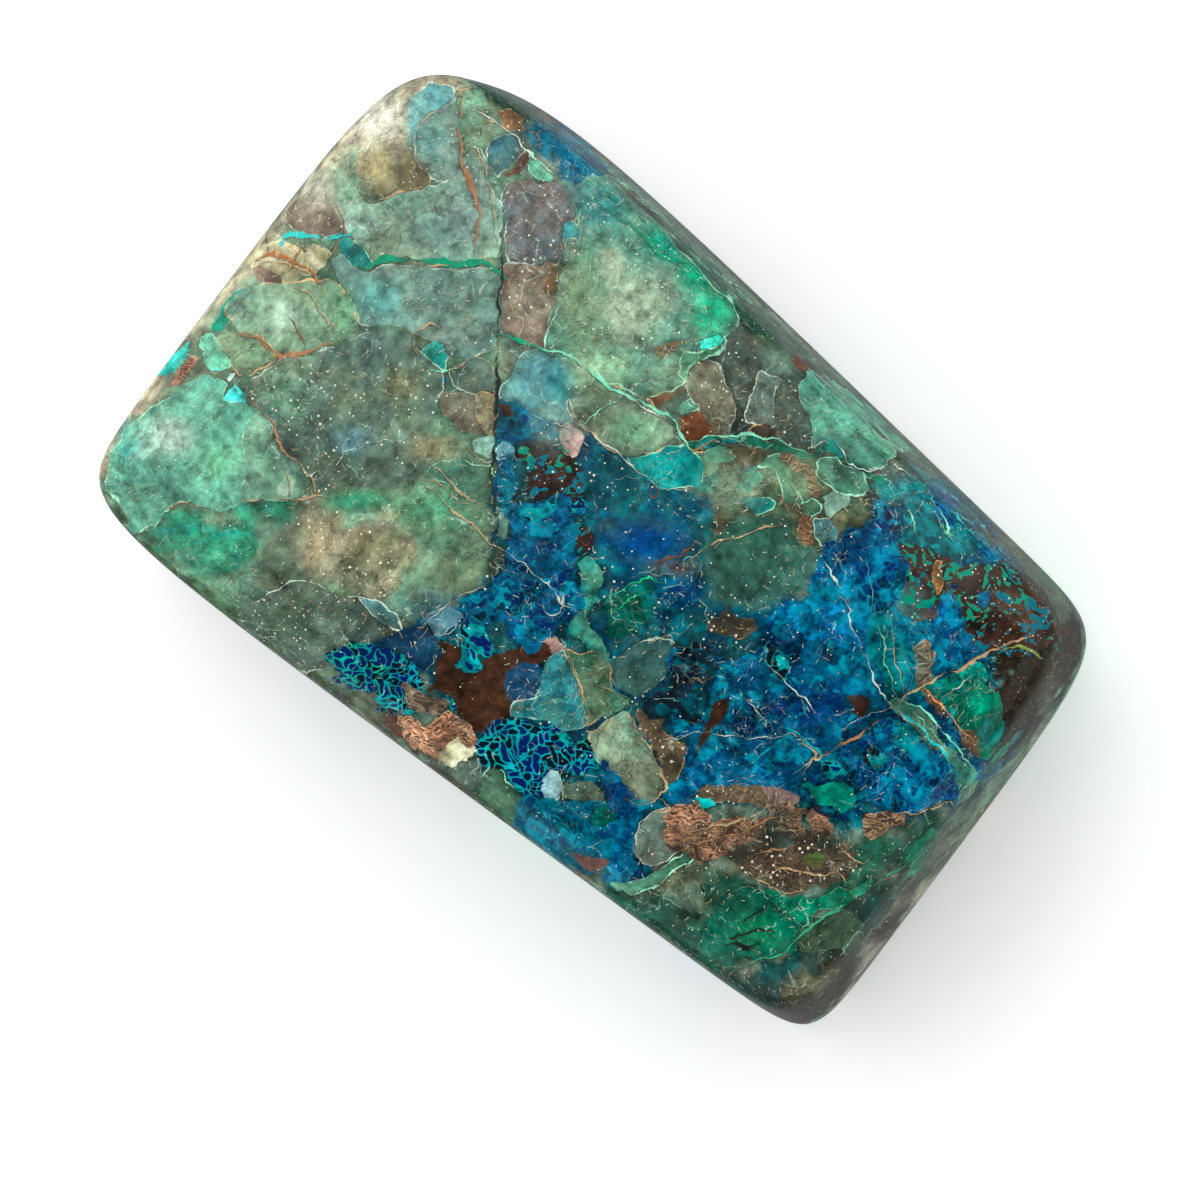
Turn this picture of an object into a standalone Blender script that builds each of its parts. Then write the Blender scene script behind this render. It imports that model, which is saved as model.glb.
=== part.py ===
"""A polished shattuckite freeform: one rounded slab of rock, lying on its lapped back.

The stone was ground flat on six sides and its edges were then rolled over by polishing.
Each ground face is a plane, and the polish blends neighbouring planes into one convex skin.

Frame, in metres: +X along the slab's length, +Y across it, +Z out of the display face.
The origin is the middle of the footprint, on the surface that the stone rests on.
"""

import math
from collections import namedtuple

import bmesh
import bpy
import numpy as np

# Driving dimensions, in metres.
THICKNESS = 0.0190  # between the planes of the display face and the back
BACK_LAP = 0.0003  # taken off the back, so that the stone lies flat
FRONT_DOME_RADIUS = 0.60  # the display face is very slightly crowned

# A ground face: the bearing of its outward normal in plan and its lean out of the vertical,
# both in degrees, its distance from the middle of the slab, and its softness. Where two
# faces meet, the edge radius is about 1.4 times the geometric mean of their softnesses.
Face = namedtuple("Face", "bearing lean reach softness")
FACES = {
    "south_side": Face(-87.1, 6.8, 0.0210, 0.00139),
    "north_side": Face(84.8, 1.7, 0.0174, 0.00323),
    "east_end": Face(1.4, 3.2, 0.0295, 0.00147),
    "west_end": Face(180.8, -5.0, 0.0320, 0.00625),
    "front": Face(0.0, 90.0, THICKNESS / 2, 0.00077),
    "back": Face(0.0, -90.0, THICKNESS / 2, 0.00143),
}

# The starting box, its loop cuts along each axis, and how far these crowd to its edges.
BOX_SIZE = (0.063, 0.041, THICKNESS)
LOOP_CUTS = (41, 27, 13)
CROWDING = 0.80

STONE_COLOUR = (0.047, 0.165, 0.150, 1.0)
STONE_ROUGHNESS = 0.12

RADIAL_STEPS = 40  # halvings, which leave a position exact to well under a nanometre
FARTHEST = 0.08
LAP_SNAP = 0.00003  # vertices this near to the lapped plane are moved onto it


def clear_scene():
    for obj in list(bpy.data.objects):
        bpy.data.objects.remove(obj, do_unlink=True)


def normal_of(face):
    bearing, lean = math.radians(face.bearing), math.radians(face.lean)
    return (
        math.cos(bearing) * math.cos(lean),
        math.sin(bearing) * math.cos(lean),
        math.sin(lean),
    )


def outside(points):
    """True for the points that lie outside the stone, measured from the slab's middle."""
    total = np.zeros(len(points))
    crown = (points[:, 0] ** 2 + points[:, 1] ** 2) / (2 * FRONT_DOME_RADIUS)
    for name, face in FACES.items():
        height = points @ np.array(normal_of(face)) - face.reach
        if name == "front":
            height += crown
        total += np.exp(np.clip(height / face.softness, -60.0, 60.0))
    return total > 1.0


def skin_points(directions):
    """The points where rays from the slab's middle leave the stone."""
    near = np.zeros(len(directions))
    far = np.full(len(directions), FARTHEST)
    for _ in range(RADIAL_STEPS):
        middle = (near + far) / 2
        out = outside(directions * middle[:, None])
        far = np.where(out, middle, far)
        near = np.where(out, near, middle)
    return directions * near[:, None]


def cut_box():
    """A two-unit cube with loop cuts along each axis."""
    box = bmesh.new()
    bmesh.ops.create_cube(box, size=2.0)
    for axis, cuts in enumerate(LOOP_CUTS):
        along = [
            edge
            for edge in box.edges
            if abs(edge.verts[0].co[axis] - edge.verts[1].co[axis]) > 1.0
        ]
        bmesh.ops.subdivide_edges(box, edges=along, cuts=cuts, use_grid_fill=True)
    return box


def polish(box):
    """Draws each vertex of the cube along its ray onto the polished skin."""
    cube = np.array([vertex.co for vertex in box.verts])
    quarter = CROWDING * math.pi / 2
    graded = np.sin(cube * quarter) / math.sin(quarter) * np.array(BOX_SIZE) / 2
    directions = graded / np.linalg.norm(graded, axis=1)[:, None]
    points = skin_points(directions)
    points[:, :2] -= (points[:, :2].min(axis=0) + points[:, :2].max(axis=0)) / 2
    points[:, 2] += THICKNESS / 2 - BACK_LAP
    for vertex, point in zip(box.verts, points):
        vertex.co = point


def lap_back(box):
    """Cuts the back off flat at the height of the surface that the stone lies on."""
    bmesh.ops.bisect_plane(
        box,
        geom=box.verts[:] + box.edges[:] + box.faces[:],
        dist=LAP_SNAP,
        plane_co=(0.0, 0.0, 0.0),
        plane_no=(0.0, 0.0, 1.0),
        clear_inner=True,
    )
    rim = [edge for edge in box.edges if edge.is_boundary]
    for vertex in {vertex for edge in rim for vertex in edge.verts}:
        vertex.co.z = 0.0
    bmesh.ops.holes_fill(box, edges=rim, sides=0)


def stone_mesh():
    box = cut_box()
    polish(box)
    lap_back(box)
    bmesh.ops.recalc_face_normals(box, faces=box.faces)
    mesh = bpy.data.meshes.new("shattuckite_freeform")
    box.to_mesh(mesh)
    box.free()
    mesh.shade_smooth()
    return mesh


def stone_material():
    material = bpy.data.materials.new("polished_shattuckite")
    material.use_nodes = True
    shader = material.node_tree.nodes["Principled BSDF"]
    shader.inputs["Base Color"].default_value = STONE_COLOUR
    shader.inputs["Roughness"].default_value = STONE_ROUGHNESS
    shader.inputs["Metallic"].default_value = 0.0
    return material


def main():
    clear_scene()
    collection = bpy.data.collections.new("shattuckite_freeform")
    bpy.context.scene.collection.children.link(collection)
    mesh = stone_mesh()
    mesh.materials.append(stone_material())
    collection.objects.link(bpy.data.objects.new("shattuckite_freeform", mesh))


main()
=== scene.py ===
"""The looks of a polished shattuckite freeform, lying on a pale floor in soft studio light.

The stone's skin is the part's own formula, meshed finely. Its rock is a jumble of clasts:
each is an outline on the display face that runs some way down into the stone, and veins
cross them. Both are written on the mesh as distances, which the material turns into crisp
edges, so that the detail doesn't depend on how fine the mesh is.
"""

import math
from collections import namedtuple

import bmesh
import bpy
import numpy as np
from mathutils import Matrix, Vector, noise


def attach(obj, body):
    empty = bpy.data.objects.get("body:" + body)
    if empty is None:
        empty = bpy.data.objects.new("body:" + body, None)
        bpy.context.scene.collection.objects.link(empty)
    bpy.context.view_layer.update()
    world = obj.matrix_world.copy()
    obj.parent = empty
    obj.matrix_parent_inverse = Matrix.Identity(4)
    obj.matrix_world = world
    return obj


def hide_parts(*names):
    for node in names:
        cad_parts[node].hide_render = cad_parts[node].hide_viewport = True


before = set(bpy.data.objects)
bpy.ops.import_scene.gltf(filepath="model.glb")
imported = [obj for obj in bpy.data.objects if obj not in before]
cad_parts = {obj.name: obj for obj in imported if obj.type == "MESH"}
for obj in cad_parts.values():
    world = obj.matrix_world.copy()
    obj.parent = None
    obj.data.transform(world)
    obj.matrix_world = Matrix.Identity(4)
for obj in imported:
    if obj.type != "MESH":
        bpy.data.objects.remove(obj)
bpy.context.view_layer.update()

MM = 0.001

# The stone's shape, as the part has it, in metres and degrees: a dome and a lapped back on
# six faces, each with its bearing, lean, distance from the middle, and softness.
THICKNESS = 0.0190
BACK_LAP = 0.0003
FRONT_DOME_RADIUS = 0.60
Face = namedtuple("Face", "bearing lean reach softness")
FACES = {
    "south_side": Face(-87.1, 6.8, 0.0210, 0.00139),
    "north_side": Face(84.8, 1.7, 0.0174, 0.00323),
    "east_end": Face(1.4, 3.2, 0.0295, 0.00147),
    "west_end": Face(180.8, -5.0, 0.0320, 0.00625),
    "front": Face(0.0, 90.0, THICKNESS / 2, 0.00077),
    "back": Face(0.0, -90.0, THICKNESS / 2, 0.00143),
}

# The box that the skin is meshed from, the cuts along each of its axes, and how they crowd
# towards its edges. The skin is found along rays through its points, by halving.
BOX_SIZE = (0.063, 0.041, THICKNESS)
LOOP_CUTS = (155, 101, 19)
CROWDING = 0.45
RADIAL_STEPS = 34
FARTHEST = 0.08

# The photograph: its size in pixels, where the slab's middle is in it, the size of a pixel
# there, the turn of the stone's length in the picture, and the camera's tilt to the right.
PHOTO_SIZE = 1200
SLAB_MIDDLE_PIXEL = (637.1, 539.4)
PIXEL = 0.06845 * MM
STONE_TURN = math.radians(38.5)
CAMERA_TILT = math.radians(10.0)
LENS = 400.0
SENSOR = 36.0

# The back shows the same rock turned half round this pixel, and drawn out of shape.
TURN_PIXEL = (616.0, 545.0)


# Minerals

# A mineral's two colours in daylight (0 to 255), which mingle in clouds, then how it looks:
# rim and rim_width: the colour and width in mm of the broken line round its clasts
# ragged and soft: how far its edge wanders and, where it fades, how wide, in mm
# mottle: deep and bright blotches; pits: dark cells in a net; islands: turquoise spots
# grain: wood-like streaks; specks: bright dust; hairs: fine curled lines; needles: scratches
Mineral = namedtuple(
    "Mineral",
    "tint second rim rim_width ragged soft mottle pits islands grain specks hairs needles",
    defaults=((200, 190, 160), 0.0, 0.10, 0.0, 0.0, 0.0, 0.0, 0.0, 0.3, 0.3, 0.3),
)
MINT_RIM = (165, 225, 190)
TAN_RIM = (200, 165, 120)
PALE_RIM = (184, 200, 182)
DARK_RIM = (40, 60, 55)
MINERALS = {
    "ground": Mineral((92, 120, 104), (104, 116, 94)),
    "field": Mineral((104, 138, 118), (114, 130, 106), soft=1.2, ragged=0.3, needles=0.6),
    # haze is a painted reflection: a pale tint for the sheen of the light on the west shoulder
    "haze": Mineral((190, 180, 152), (152, 150, 128), soft=1.2, ragged=0.4, specks=0.3),
    "khaki": Mineral((118, 114, 86), (100, 110, 86), soft=0.4, ragged=0.4, specks=0.6),
    "moss": Mineral((72, 104, 76), (56, 82, 60), soft=0.4, ragged=0.3),
    "emerald_bloom": Mineral((62, 146, 110), (84, 156, 120), soft=0.8, ragged=0.4, mottle=0.3),
    "bottle": Mineral((28, 74, 68), (36, 62, 52), soft=0.5, ragged=0.4, specks=0.2),
    "forest": Mineral((34, 88, 68), (44, 92, 70), soft=0.9, ragged=0.4, specks=0.5),
    "murk": Mineral((56, 46, 36), (46, 52, 38), soft=0.6, ragged=0.6, specks=0.3, needles=0.0),
    "deep_teal": Mineral(
        (38, 90, 92), (28, 72, 96),
        soft=0.4, ragged=0.4, mottle=0.35, specks=0.7, hairs=0.3,
    ),
    "lake": Mineral((56, 110, 124), (66, 118, 114), soft=0.6, ragged=0.3),
    "sand": Mineral((140, 132, 106), (116, 120, 96), soft=0.9, ragged=0.5, specks=1.0, needles=1.3),
    "olive": Mineral((126, 120, 94), (102, 98, 78), TAN_RIM, 0.05, ragged=0.15, needles=1.0),
    "mushroom": Mineral((112, 102, 86), (122, 120, 102), PALE_RIM, 0.04, specks=0.7, needles=0.7),
    "slate": Mineral((82, 104, 94), (92, 108, 90), PALE_RIM, 0.05, specks=0.8, needles=0.7),
    "slate_blue": Mineral((58, 100, 106), (74, 110, 104), PALE_RIM, 0.05, needles=0.6),
    "slate_column": Mineral((82, 98, 98), (94, 92, 82), PALE_RIM, 0.05, specks=0.8, needles=0.8),
    "charcoal": Mineral((66, 84, 74), (80, 94, 80), DARK_RIM, 0.04, specks=0.8),
    "charcoal_green": Mineral((34, 62, 50), (48, 70, 52), MINT_RIM, 0.03),
    "murk_chip": Mineral((52, 44, 38), (60, 52, 40), TAN_RIM, 0.06),
    "teal": Mineral((30, 130, 124), (60, 142, 126), MINT_RIM, 0.05, ragged=0.12, mottle=0.2),
    "teal_dark": Mineral((16, 90, 94), (22, 108, 104), ragged=0.2, mottle=0.6),
    "jade": Mineral((104, 134, 122), (120, 142, 126), PALE_RIM, 0.05, needles=0.8),
    "frost_jade": Mineral((146, 188, 164), (126, 172, 148), ragged=0.1),
    "sage": Mineral((108, 140, 116), (122, 148, 118), TAN_RIM, 0.07, ragged=0.08, needles=0.5),
    "great_jade": Mineral((92, 142, 118), (108, 138, 116), MINT_RIM, 0.07, specks=0.7, needles=0.8),
    "lake_glass": Mineral(
        (48, 112, 116), (66, 122, 116),
        PALE_RIM, 0.05, mottle=0.3, hairs=0.8, needles=0.8,
    ),
    "mint": Mineral((120, 184, 150), (104, 168, 140), MINT_RIM, 0.05),
    "emerald": Mineral(
        (12, 128, 98), (24, 108, 84),
        MINT_RIM, 0.02, ragged=0.2, mottle=0.45, hairs=0.3,
    ),
    "leaf": Mineral((76, 138, 108), (92, 152, 120), MINT_RIM, 0.07),
    "bottle_glass": Mineral((66, 110, 88), (76, 110, 86), MINT_RIM, 0.04),
    "forest_glass": Mineral((16, 74, 62), (22, 88, 80), ragged=0.1, mottle=0.3),
    "sky": Mineral((92, 142, 148), (110, 154, 148), PALE_RIM, 0.06, needles=0.6),
    "sky_blue": Mineral((52, 144, 196), (90, 170, 206), PALE_RIM, 0.05),
    "frost": Mineral((150, 188, 192), (116, 166, 178), PALE_RIM, 0.05, hairs=0.8),
    "azure": Mineral(
        (6, 104, 142), (8, 82, 114),
        ragged=0.25, mottle=0.8, pits=0.15, specks=0.2, hairs=0.15,
    ),
    "cobalt": Mineral(
        (8, 66, 122), (10, 96, 132),
        ragged=0.25, mottle=0.8, pits=0.25, specks=0.2, hairs=0.15,
    ),
    "sea": Mineral((16, 96, 118), (24, 84, 98), ragged=0.25, mottle=0.5, pits=0.2),
    "navy": Mineral((12, 40, 74), (18, 62, 98), ragged=0.2, mottle=0.5, pits=0.15),
    "ink": Mineral((14, 24, 30), (20, 44, 54), ragged=0.25, mottle=0.3),
    "turquoise": Mineral((0, 166, 162), (16, 140, 136), ragged=0.25, mottle=0.6, pits=0.3),
    "turquoise_mint": Mineral(
        (50, 164, 146), (104, 180, 150),
        DARK_RIM, 0.05, ragged=0.2, mottle=0.4, hairs=0.7,
    ),
    "turquoise_green": Mineral((18, 134, 118), (38, 150, 128), ragged=0.2, mottle=0.5, pits=0.2),
    "cyan": Mineral((44, 198, 190), (84, 196, 180), ragged=0.1),
    "brown": Mineral((66, 43, 33), (54, 37, 28), ragged=0.2, specks=0.2, hairs=0.0, needles=0.0),
    "spotted_brown": Mineral(
        (62, 44, 36), (48, 38, 32),
        ragged=0.25, specks=0.6, islands=1.0, hairs=0.3, needles=0.0,
    ),
    "rust": Mineral(
        (122, 86, 58), (98, 74, 54),
        TAN_RIM, 0.04, ragged=0.2, specks=0.9, needles=0.8,
    ),
    "plum": Mineral((96, 68, 60), (78, 58, 52), ragged=0.15, needles=0.0),
    "copper": Mineral((150, 112, 84), (112, 84, 62), ragged=0.2, grain=0.8),
    "copper_net": Mineral(
        (136, 116, 84), (90, 96, 72),
        ragged=0.35, grain=0.5, hairs=1.0, needles=1.0,
    ),
    "grain": Mineral((196, 146, 118), (160, 116, 92), ragged=0.3, grain=1.0, specks=0.2),
    "driftwood": Mineral((186, 142, 114), (132, 112, 90), ragged=0.35, grain=1.0, specks=0.3),
    "silver_grain": Mineral((156, 140, 122), (120, 104, 88), ragged=0.3, grain=1.0),
    "streaked": Mineral(
        (142, 120, 96), (58, 84, 70),
        ragged=0.4, grain=1.0, hairs=0.6, needles=1.0,
    ),
    "cream": Mineral((190, 190, 158), (146, 148, 112), ragged=0.4, hairs=1.0, needles=1.0),
    "net": Mineral((14, 150, 150), (10, 114, 138), ragged=0.3, mottle=0.3, pits=1.0),
    "green_net": Mineral((28, 142, 102), (20, 120, 106), ragged=0.3, mottle=0.3, pits=1.0),
    "speckled_dark": Mineral(
        (88, 78, 64), (54, 60, 50),
        ragged=0.4, grain=0.9, specks=1.0, needles=0.8,
    ),
    "speckled_rust": Mineral(
        (104, 88, 70), (84, 76, 62),
        TAN_RIM, 0.05, ragged=0.25, grain=0.6, specks=1.0, needles=1.0,
    ),
    "moss_chip": Mineral((82, 112, 60), (66, 98, 56), ragged=0.2),
    "mixed": Mineral((118, 122, 88), (84, 124, 96), ragged=0.3, grain=0.3, hairs=1.0, needles=1.0),
    "bundle": Mineral((64, 148, 128), (108, 156, 126), ragged=0.2, grain=0.5, hairs=1.0),
    "crown_blue": Mineral((14, 92, 112), (10, 66, 88), soft=0.5, ragged=0.4, mottle=0.4, hairs=0.6),
    "slate_navy": Mineral((36, 74, 96), (30, 56, 82), hairs=0.4, needles=1.0),
    "glass_jade": Mineral((82, 146, 126), (96, 156, 134), PALE_RIM, 0.05, needles=0.6),
    "meadow": Mineral(
        (18, 98, 76), (32, 88, 68),
        MINT_RIM, 0.02, ragged=0.25, hairs=0.3, needles=0.6,
    ),
    "rust_dark": Mineral(
        (110, 66, 44), (82, 52, 38),
        ragged=0.2, specks=0.8, hairs=0.6, needles=0.0,
    ),
    "pine": Mineral((66, 108, 96), (54, 88, 84), soft=0.8, ragged=0.4, specks=0.5, needles=0.5),
    "ribbon_green": Mineral(
        (66, 112, 90), (86, 110, 88),
        TAN_RIM, 0.05, ragged=0.1, hairs=0.6, needles=0.6,
    ),
    "tongue_green": Mineral(
        (106, 142, 122), (118, 134, 112),
        TAN_RIM, 0.06, ragged=0.08, needles=0.8,
    ),
    "rose": Mineral((180, 154, 146), (160, 134, 126), ragged=0.15),
}


# Clasts

# A clast's mineral, its outline in the photograph's pixels, and how light it is. They are
# laid in this order, so that a later one covers an earlier one. Soft ones lie under all.
Clast = namedtuple("Clast", "mineral outline light", defaults=(1.0,))
CLASTS = {
    # Soft ground
    "west field": Clast(
        "field",
        "90,470 130,400 240,260 360,110 440,60 500,90 520,180 505,300 500,540 490,600 400,660"
        " 320,690 250,650 150,560",
    ),
    "north shoulder": Clast(
        "bottle",
        "455,60 470,92 520,118 545,135 600,160 650,205 690,255 735,300 745,330 790,350 850,400"
        " 905,450 950,492 1000,545 1040,590 1085,650 1140,650 1000,440 800,260 600,60",
    ),
    # Painted reflection: the pale sheen of the light along the west shoulder
    "west shoulder": Clast(
        "haze",
        "70,490 120,400 200,300 300,180 380,95 440,60 470,85 430,102 395,112 360,140 325,190"
        " 280,235 240,285 200,330 170,375 145,405 125,440 118,478",
    ),
    # Painted highlight where the west shoulder's corner faces the light
    "corner light": Clast("haze", "350,150 342,125 365,100 400,98 412,118 405,136 380,142", 1.35),
    "azure shoulder": Clast(
        "lake",
        "520,118 560,130 600,155 640,195 615,215 600,235 580,205 545,155",
    ),
    "green slope": Clast("forest", "735,300 760,300 800,340 830,370 800,372 765,345 742,325", 1.1),
    "east slope": Clast(
        "bottle",
        "840,385 880,415 900,430 950,490 1000,545 960,520 900,470 870,430",
        1.1,
    ),
    "blue floor": Clast(
        "deep_teal",
        "500,400 585,430 620,455 700,490 730,560 800,600 830,550 870,500 960,500 1030,560 1010,650"
        " 1000,780 960,810 860,840 700,800 640,900 520,830 470,760 400,640 480,590",
    ),
    "dark slope": Clast(
        "pine",
        "722,515 790,515 815,545 825,565 795,600 750,612 715,595 700,565",
        0.85,
    ),
    "blue haze": Clast("lake", "600,525 640,515 685,530 690,555 660,568 620,555", 0.8),
    "right end": Clast(
        "murk",
        "1000,640 1040,600 1085,640 1120,650 1060,775 1010,805 988,782 992,720",
        0.78,
    ),
    "south east": Clast(
        "bottle",
        "985,780 950,818 935,842 905,868 870,890 840,910 805,930 785,955 734,972 690,975 760,1060"
        " 860,1060 1060,790 1010,760",
    ),
    "corner murk": Clast(
        "murk",
        "770,1000 785,985 820,960 870,925 910,880 940,860 860,1060 780,1060",
    ),
    "corner khaki": Clast(
        "khaki",
        "782,990 800,976 830,966 845,972 838,986 815,1000 792,1002",
        0.75,
    ),
    "brown smear": Clast("murk", "885,875 905,863 918,870 914,888 900,897 888,890", 1.4),
    "lower meadow": Clast(
        "forest",
        "590,885 640,892 690,862 720,870 750,885 800,895 830,880 850,845 880,832 912,820 950,808"
        " 960,826 916,867 876,890 837,906 801,930 781,954 734,970 700,975 620,910",
        0.95,
    ),
    "mossy edge": Clast("moss", "100,500 140,530 200,582 260,632 300,665 280,695 160,600 80,530"),
    "brown lip": Clast("murk", "300,668 380,735 470,785 520,830 500,860 400,790 300,705", 1.3),
    # Upper left
    "mushroom shelf": Clast(
        "mushroom",
        "296,198 315,191 335,198 347,212 346,230 332,235 318,237 300,232 288,226 284,212",
    ),
    "olive knot": Clast(
        "olive",
        "352,160 366,148 385,140 402,137 415,140 420,152 418,166 432,180 427,187 405,192 386,197"
        " 372,202 362,196 357,182 360,168",
    ),
    "upper jade": Clast(
        "jade",
        "344,217 351,202 358,198 372,204 395,197 420,190 445,183 466,172 474,190 490,186 500,210"
        " 502,258 460,260 430,258 400,256 380,256 370,264 358,245 346,236",
    ),
    "crown jade": Clast(
        "jade",
        "410,140 416,127 430,115 450,105 460,103 459,130 463,150 466,172 445,183 430,180 418,166",
        0.85,
    ),
    "crown right": Clast(
        "field",
        "461,104 480,112 500,125 518,135 505,142 488,140 470,138 462,135",
        0.9,
    ),
    "crown blue": Clast(
        "slate_blue",
        "492,140 512,134 526,148 520,160 508,170 496,180 488,165 484,150",
    ),
    "crown slate": Clast("slate", "466,140 484,150 490,186 474,190 466,172 463,150", 1.05),
    "top glass": Clast(
        "sky",
        "403,112 410,96 424,88 445,86 460,94 452,104 438,113 424,122 412,131 404,124",
    ),
    "cream net": Clast(
        "cream",
        "252,258 262,246 275,240 290,240 310,241 325,252 328,262 322,275 305,280 285,285 268,290"
        " 255,282",
    ),
    "yellow chip": Clast("cream", "272,248 285,240 288,252 275,262 262,262", 1.1),
    "ink spot": Clast(
        "plum",
        "250,272 262,266 272,270 280,276 284,288 278,293 265,290 255,282",
        0.8,
    ),
    "frost spot": Clast("frost", "266,284 274,276 282,280 279,288 270,290", 1.1),
    "teal bead": Clast(
        "teal",
        "338,238 344,232 351,241 360,246 366,254 374,264 373,270 364,269 355,265 347,257 340,249",
        0.85,
    ),
    "mid jade": Clast(
        "jade",
        "330,262 345,254 356,266 368,272 385,262 430,268 480,268 500,276 500,335 488,350 470,358"
        " 445,352 440,342 425,338 415,335 405,325 380,325 360,325 357,312 345,292",
    ),
    "sage lens": Clast(
        "sage",
        "225,310 232,296 247,290 262,285 282,284 300,280 318,279 330,277 341,286 351,298 357,313"
        " 357,328 350,340 336,345 320,350 304,355 288,360 280,361 274,351 266,343 256,336 244,332"
        " 236,326 229,319",
        0.92,
    ),
    "west sprout": Clast(
        "emerald",
        "235,292 247,290 243,303 234,316 226,328 215,334 210,326 218,312 227,300",
    ),
    "pale step": Clast(
        "mint",
        "199,337 210,332 222,345 230,357 233,368 222,372 208,366 200,355",
        0.98,
    ),
    "under lens": Clast(
        "sage",
        "213,336 226,330 244,334 256,338 266,346 274,355 276,362 250,375 238,378 232,366 222,346",
        0.78,
    ),
    "west jade": Clast(
        "frost_jade",
        "247,402 262,412 272,428 278,445 290,458 302,462 308,480 300,497 270,500 250,501 236,502"
        " 232,470 232,430 238,404",
        0.8,
    ),
    "mint lobe": Clast(
        "mint",
        "184,386 200,374 222,377 230,384 222,402 238,404 246,404 250,415 242,440 247,470 240,500"
        " 224,513 200,508 190,503 175,505 165,512 150,530 135,530 120,505 108,480 115,455 128,430"
        " 142,413 165,402 172,392",
        0.84,
    ),
    "cyan shard a": Clast(
        "cyan",
        "160,368 168,356 182,342 192,334 198,340 190,354 180,366 172,379",
        1.02,
    ),
    "cyan shard b": Clast("cyan", "223,403 230,392 238,382 248,398 240,403"),
    "pale shard": Clast("frost", "222,381 226,370 232,364 238,376 234,380", 1.3),
    "copper nib": Clast(
        "grain",
        "170,395 174,378 180,362 188,350 196,340 202,335 202,350 194,362 184,378 174,392",
    ),
    "left emerald": Clast(
        "emerald_bloom",
        "150,532 165,516 182,508 200,509 216,518 236,518 252,535 263,548 256,561 240,571 220,579"
        " 200,576 180,566 165,551",
    ),
    "emerald strip": Clast(
        "emerald_bloom",
        "224,512 238,501 270,499 291,498 293,512 286,530 275,536 262,522 240,516",
        0.9,
    ),
    "grey apron": Clast(
        "field",
        "262,520 290,530 300,550 302,575 330,590 300,600 262,610 242,600 232,580 256,562 264,548",
        0.85,
    ),
    "low slate": Clast(
        "slate",
        "300,578 330,590 365,600 385,615 400,632 390,645 360,655 335,668 305,672 270,650 245,628"
        " 240,605 262,598",
        0.82,
    ),
    "centre slate": Clast(
        "slate",
        "248,380 262,370 282,362 305,356 330,348 346,343 380,330 412,336 420,352 445,372 440,400"
        " 425,430 400,440 352,444 330,460 308,478 300,460 288,455 278,440 272,424 262,409 248,398",
        1.12,
    ),
    "dark shelf": Clast(
        "charcoal",
        "330,462 350,446 400,440 425,432 432,450 420,470 405,488 370,490 345,485 322,495 312,480",
        1.1,
    ),
    "sand bowl": Clast(
        "sand",
        "296,510 304,502 322,502 345,522 366,518 392,505 402,540 402,562 372,582 360,598 345,594"
        " 325,588 302,576 298,550 292,530",
        1.06,
    ),
    "taupe bowl": Clast(
        "sand",
        "352,545 375,532 396,534 404,550 402,570 392,590 378,598 362,598 352,575",
        0.9,
    ),
    "blue slant": Clast("sky", "357,598 380,600 402,616 402,634 385,622 368,609", 0.55),
    # Middle left
    "nook": Clast(
        "teal",
        "418,356 424,346 434,341 443,342 447,352 446,368 440,372 428,366 420,362",
        1.05,
    ),
    "green pit": Clast("ink", "446,370 450,382 441,388 434,386 437,376", 0.9),
    "grey bay": Clast(
        "slate",
        "450,372 466,362 480,358 492,366 497,382 495,398 480,396 462,390 452,382",
    ),
    "dun bay": Clast(
        "mushroom",
        "440,392 465,391 482,396 496,398 494,432 472,437 456,428 444,412",
        0.95,
    ),
    "gold bay": Clast("olive", "478,396 497,398 497,438 484,436 478,420", 1.1),
    "pale bay": Clast("frost_jade", "468,442 490,436 497,440 497,459 487,463 476,456", 0.9),
    "green glass": Clast(
        "bottle_glass",
        "425,470 450,460 482,465 496,466 497,502 478,502 458,492 440,482",
    ),
    "low jade": Clast(
        "field",
        "440,545 452,526 472,526 492,542 495,562 484,580 468,592 448,602 425,602 404,590 420,572",
        0.95,
    ),
    "slate wedge": Clast("charcoal", "495,545 505,556 500,571 490,581 486,570 491,556", 0.8),
    "sky chip": Clast(
        "sky",
        "512,372 520,355 545,350 562,358 564,378 569,396 571,412 576,422 562,427 546,421 535,413"
        " 520,406 505,401 497,398",
        0.85,
    ),
    # Top
    "azure crown": Clast(
        "crown_blue",
        "520,122 545,124 575,140 600,165 612,190 604,206 592,212 582,205 570,190 556,172 540,152"
        " 526,138",
    ),
    "rust shoulder": Clast("rust", "483,112 500,111 520,117 536,122 528,128 508,128 496,122"),
    "mint chip": Clast("mint", "530,150 545,162 557,177 548,181 540,183 530,172 526,160", 0.9),
    "plum ell": Clast(
        "plum",
        "524,150 532,154 533,164 526,172 514,177 500,182 500,175 512,170 519,160",
    ),
    "slate column": Clast(
        "slate_column",
        "504,184 530,184 556,180 566,188 573,202 578,218 574,224 566,226 563,240 560,252 560,266"
        " 530,268 505,262",
    ),
    "dun column": Clast(
        "mushroom",
        "503,262 530,266 560,264 558,300 552,330 546,348 530,344 515,336 501,330",
    ),
    "dun light": Clast("khaki", "552,300 557,302 552,326 545,330 540,318", 1.2),
    "rust patch top": Clast("rust", "557,264 560,276 558,292 550,299 540,297 538,287 546,275"),
    "great jade": Clast(
        "great_jade",
        "580,208 576,186 590,176 610,164 626,178 642,194 658,212 676,236 694,256 704,268 716,282"
        " 728,296 735,312 736,321 730,332 722,338 727,343 725,350 718,356 706,360 697,361 689,369"
        " 684,384 664,392 645,394 626,388 599,374 579,362 547,350 545,332 556,305 560,278 572,262"
        " 578,240",
        0.97,
    ),
    "jade toe": Clast(
        "leaf",
        "682,352 700,350 722,344 724,350 716,356 700,361 690,368 684,384 676,376",
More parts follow.
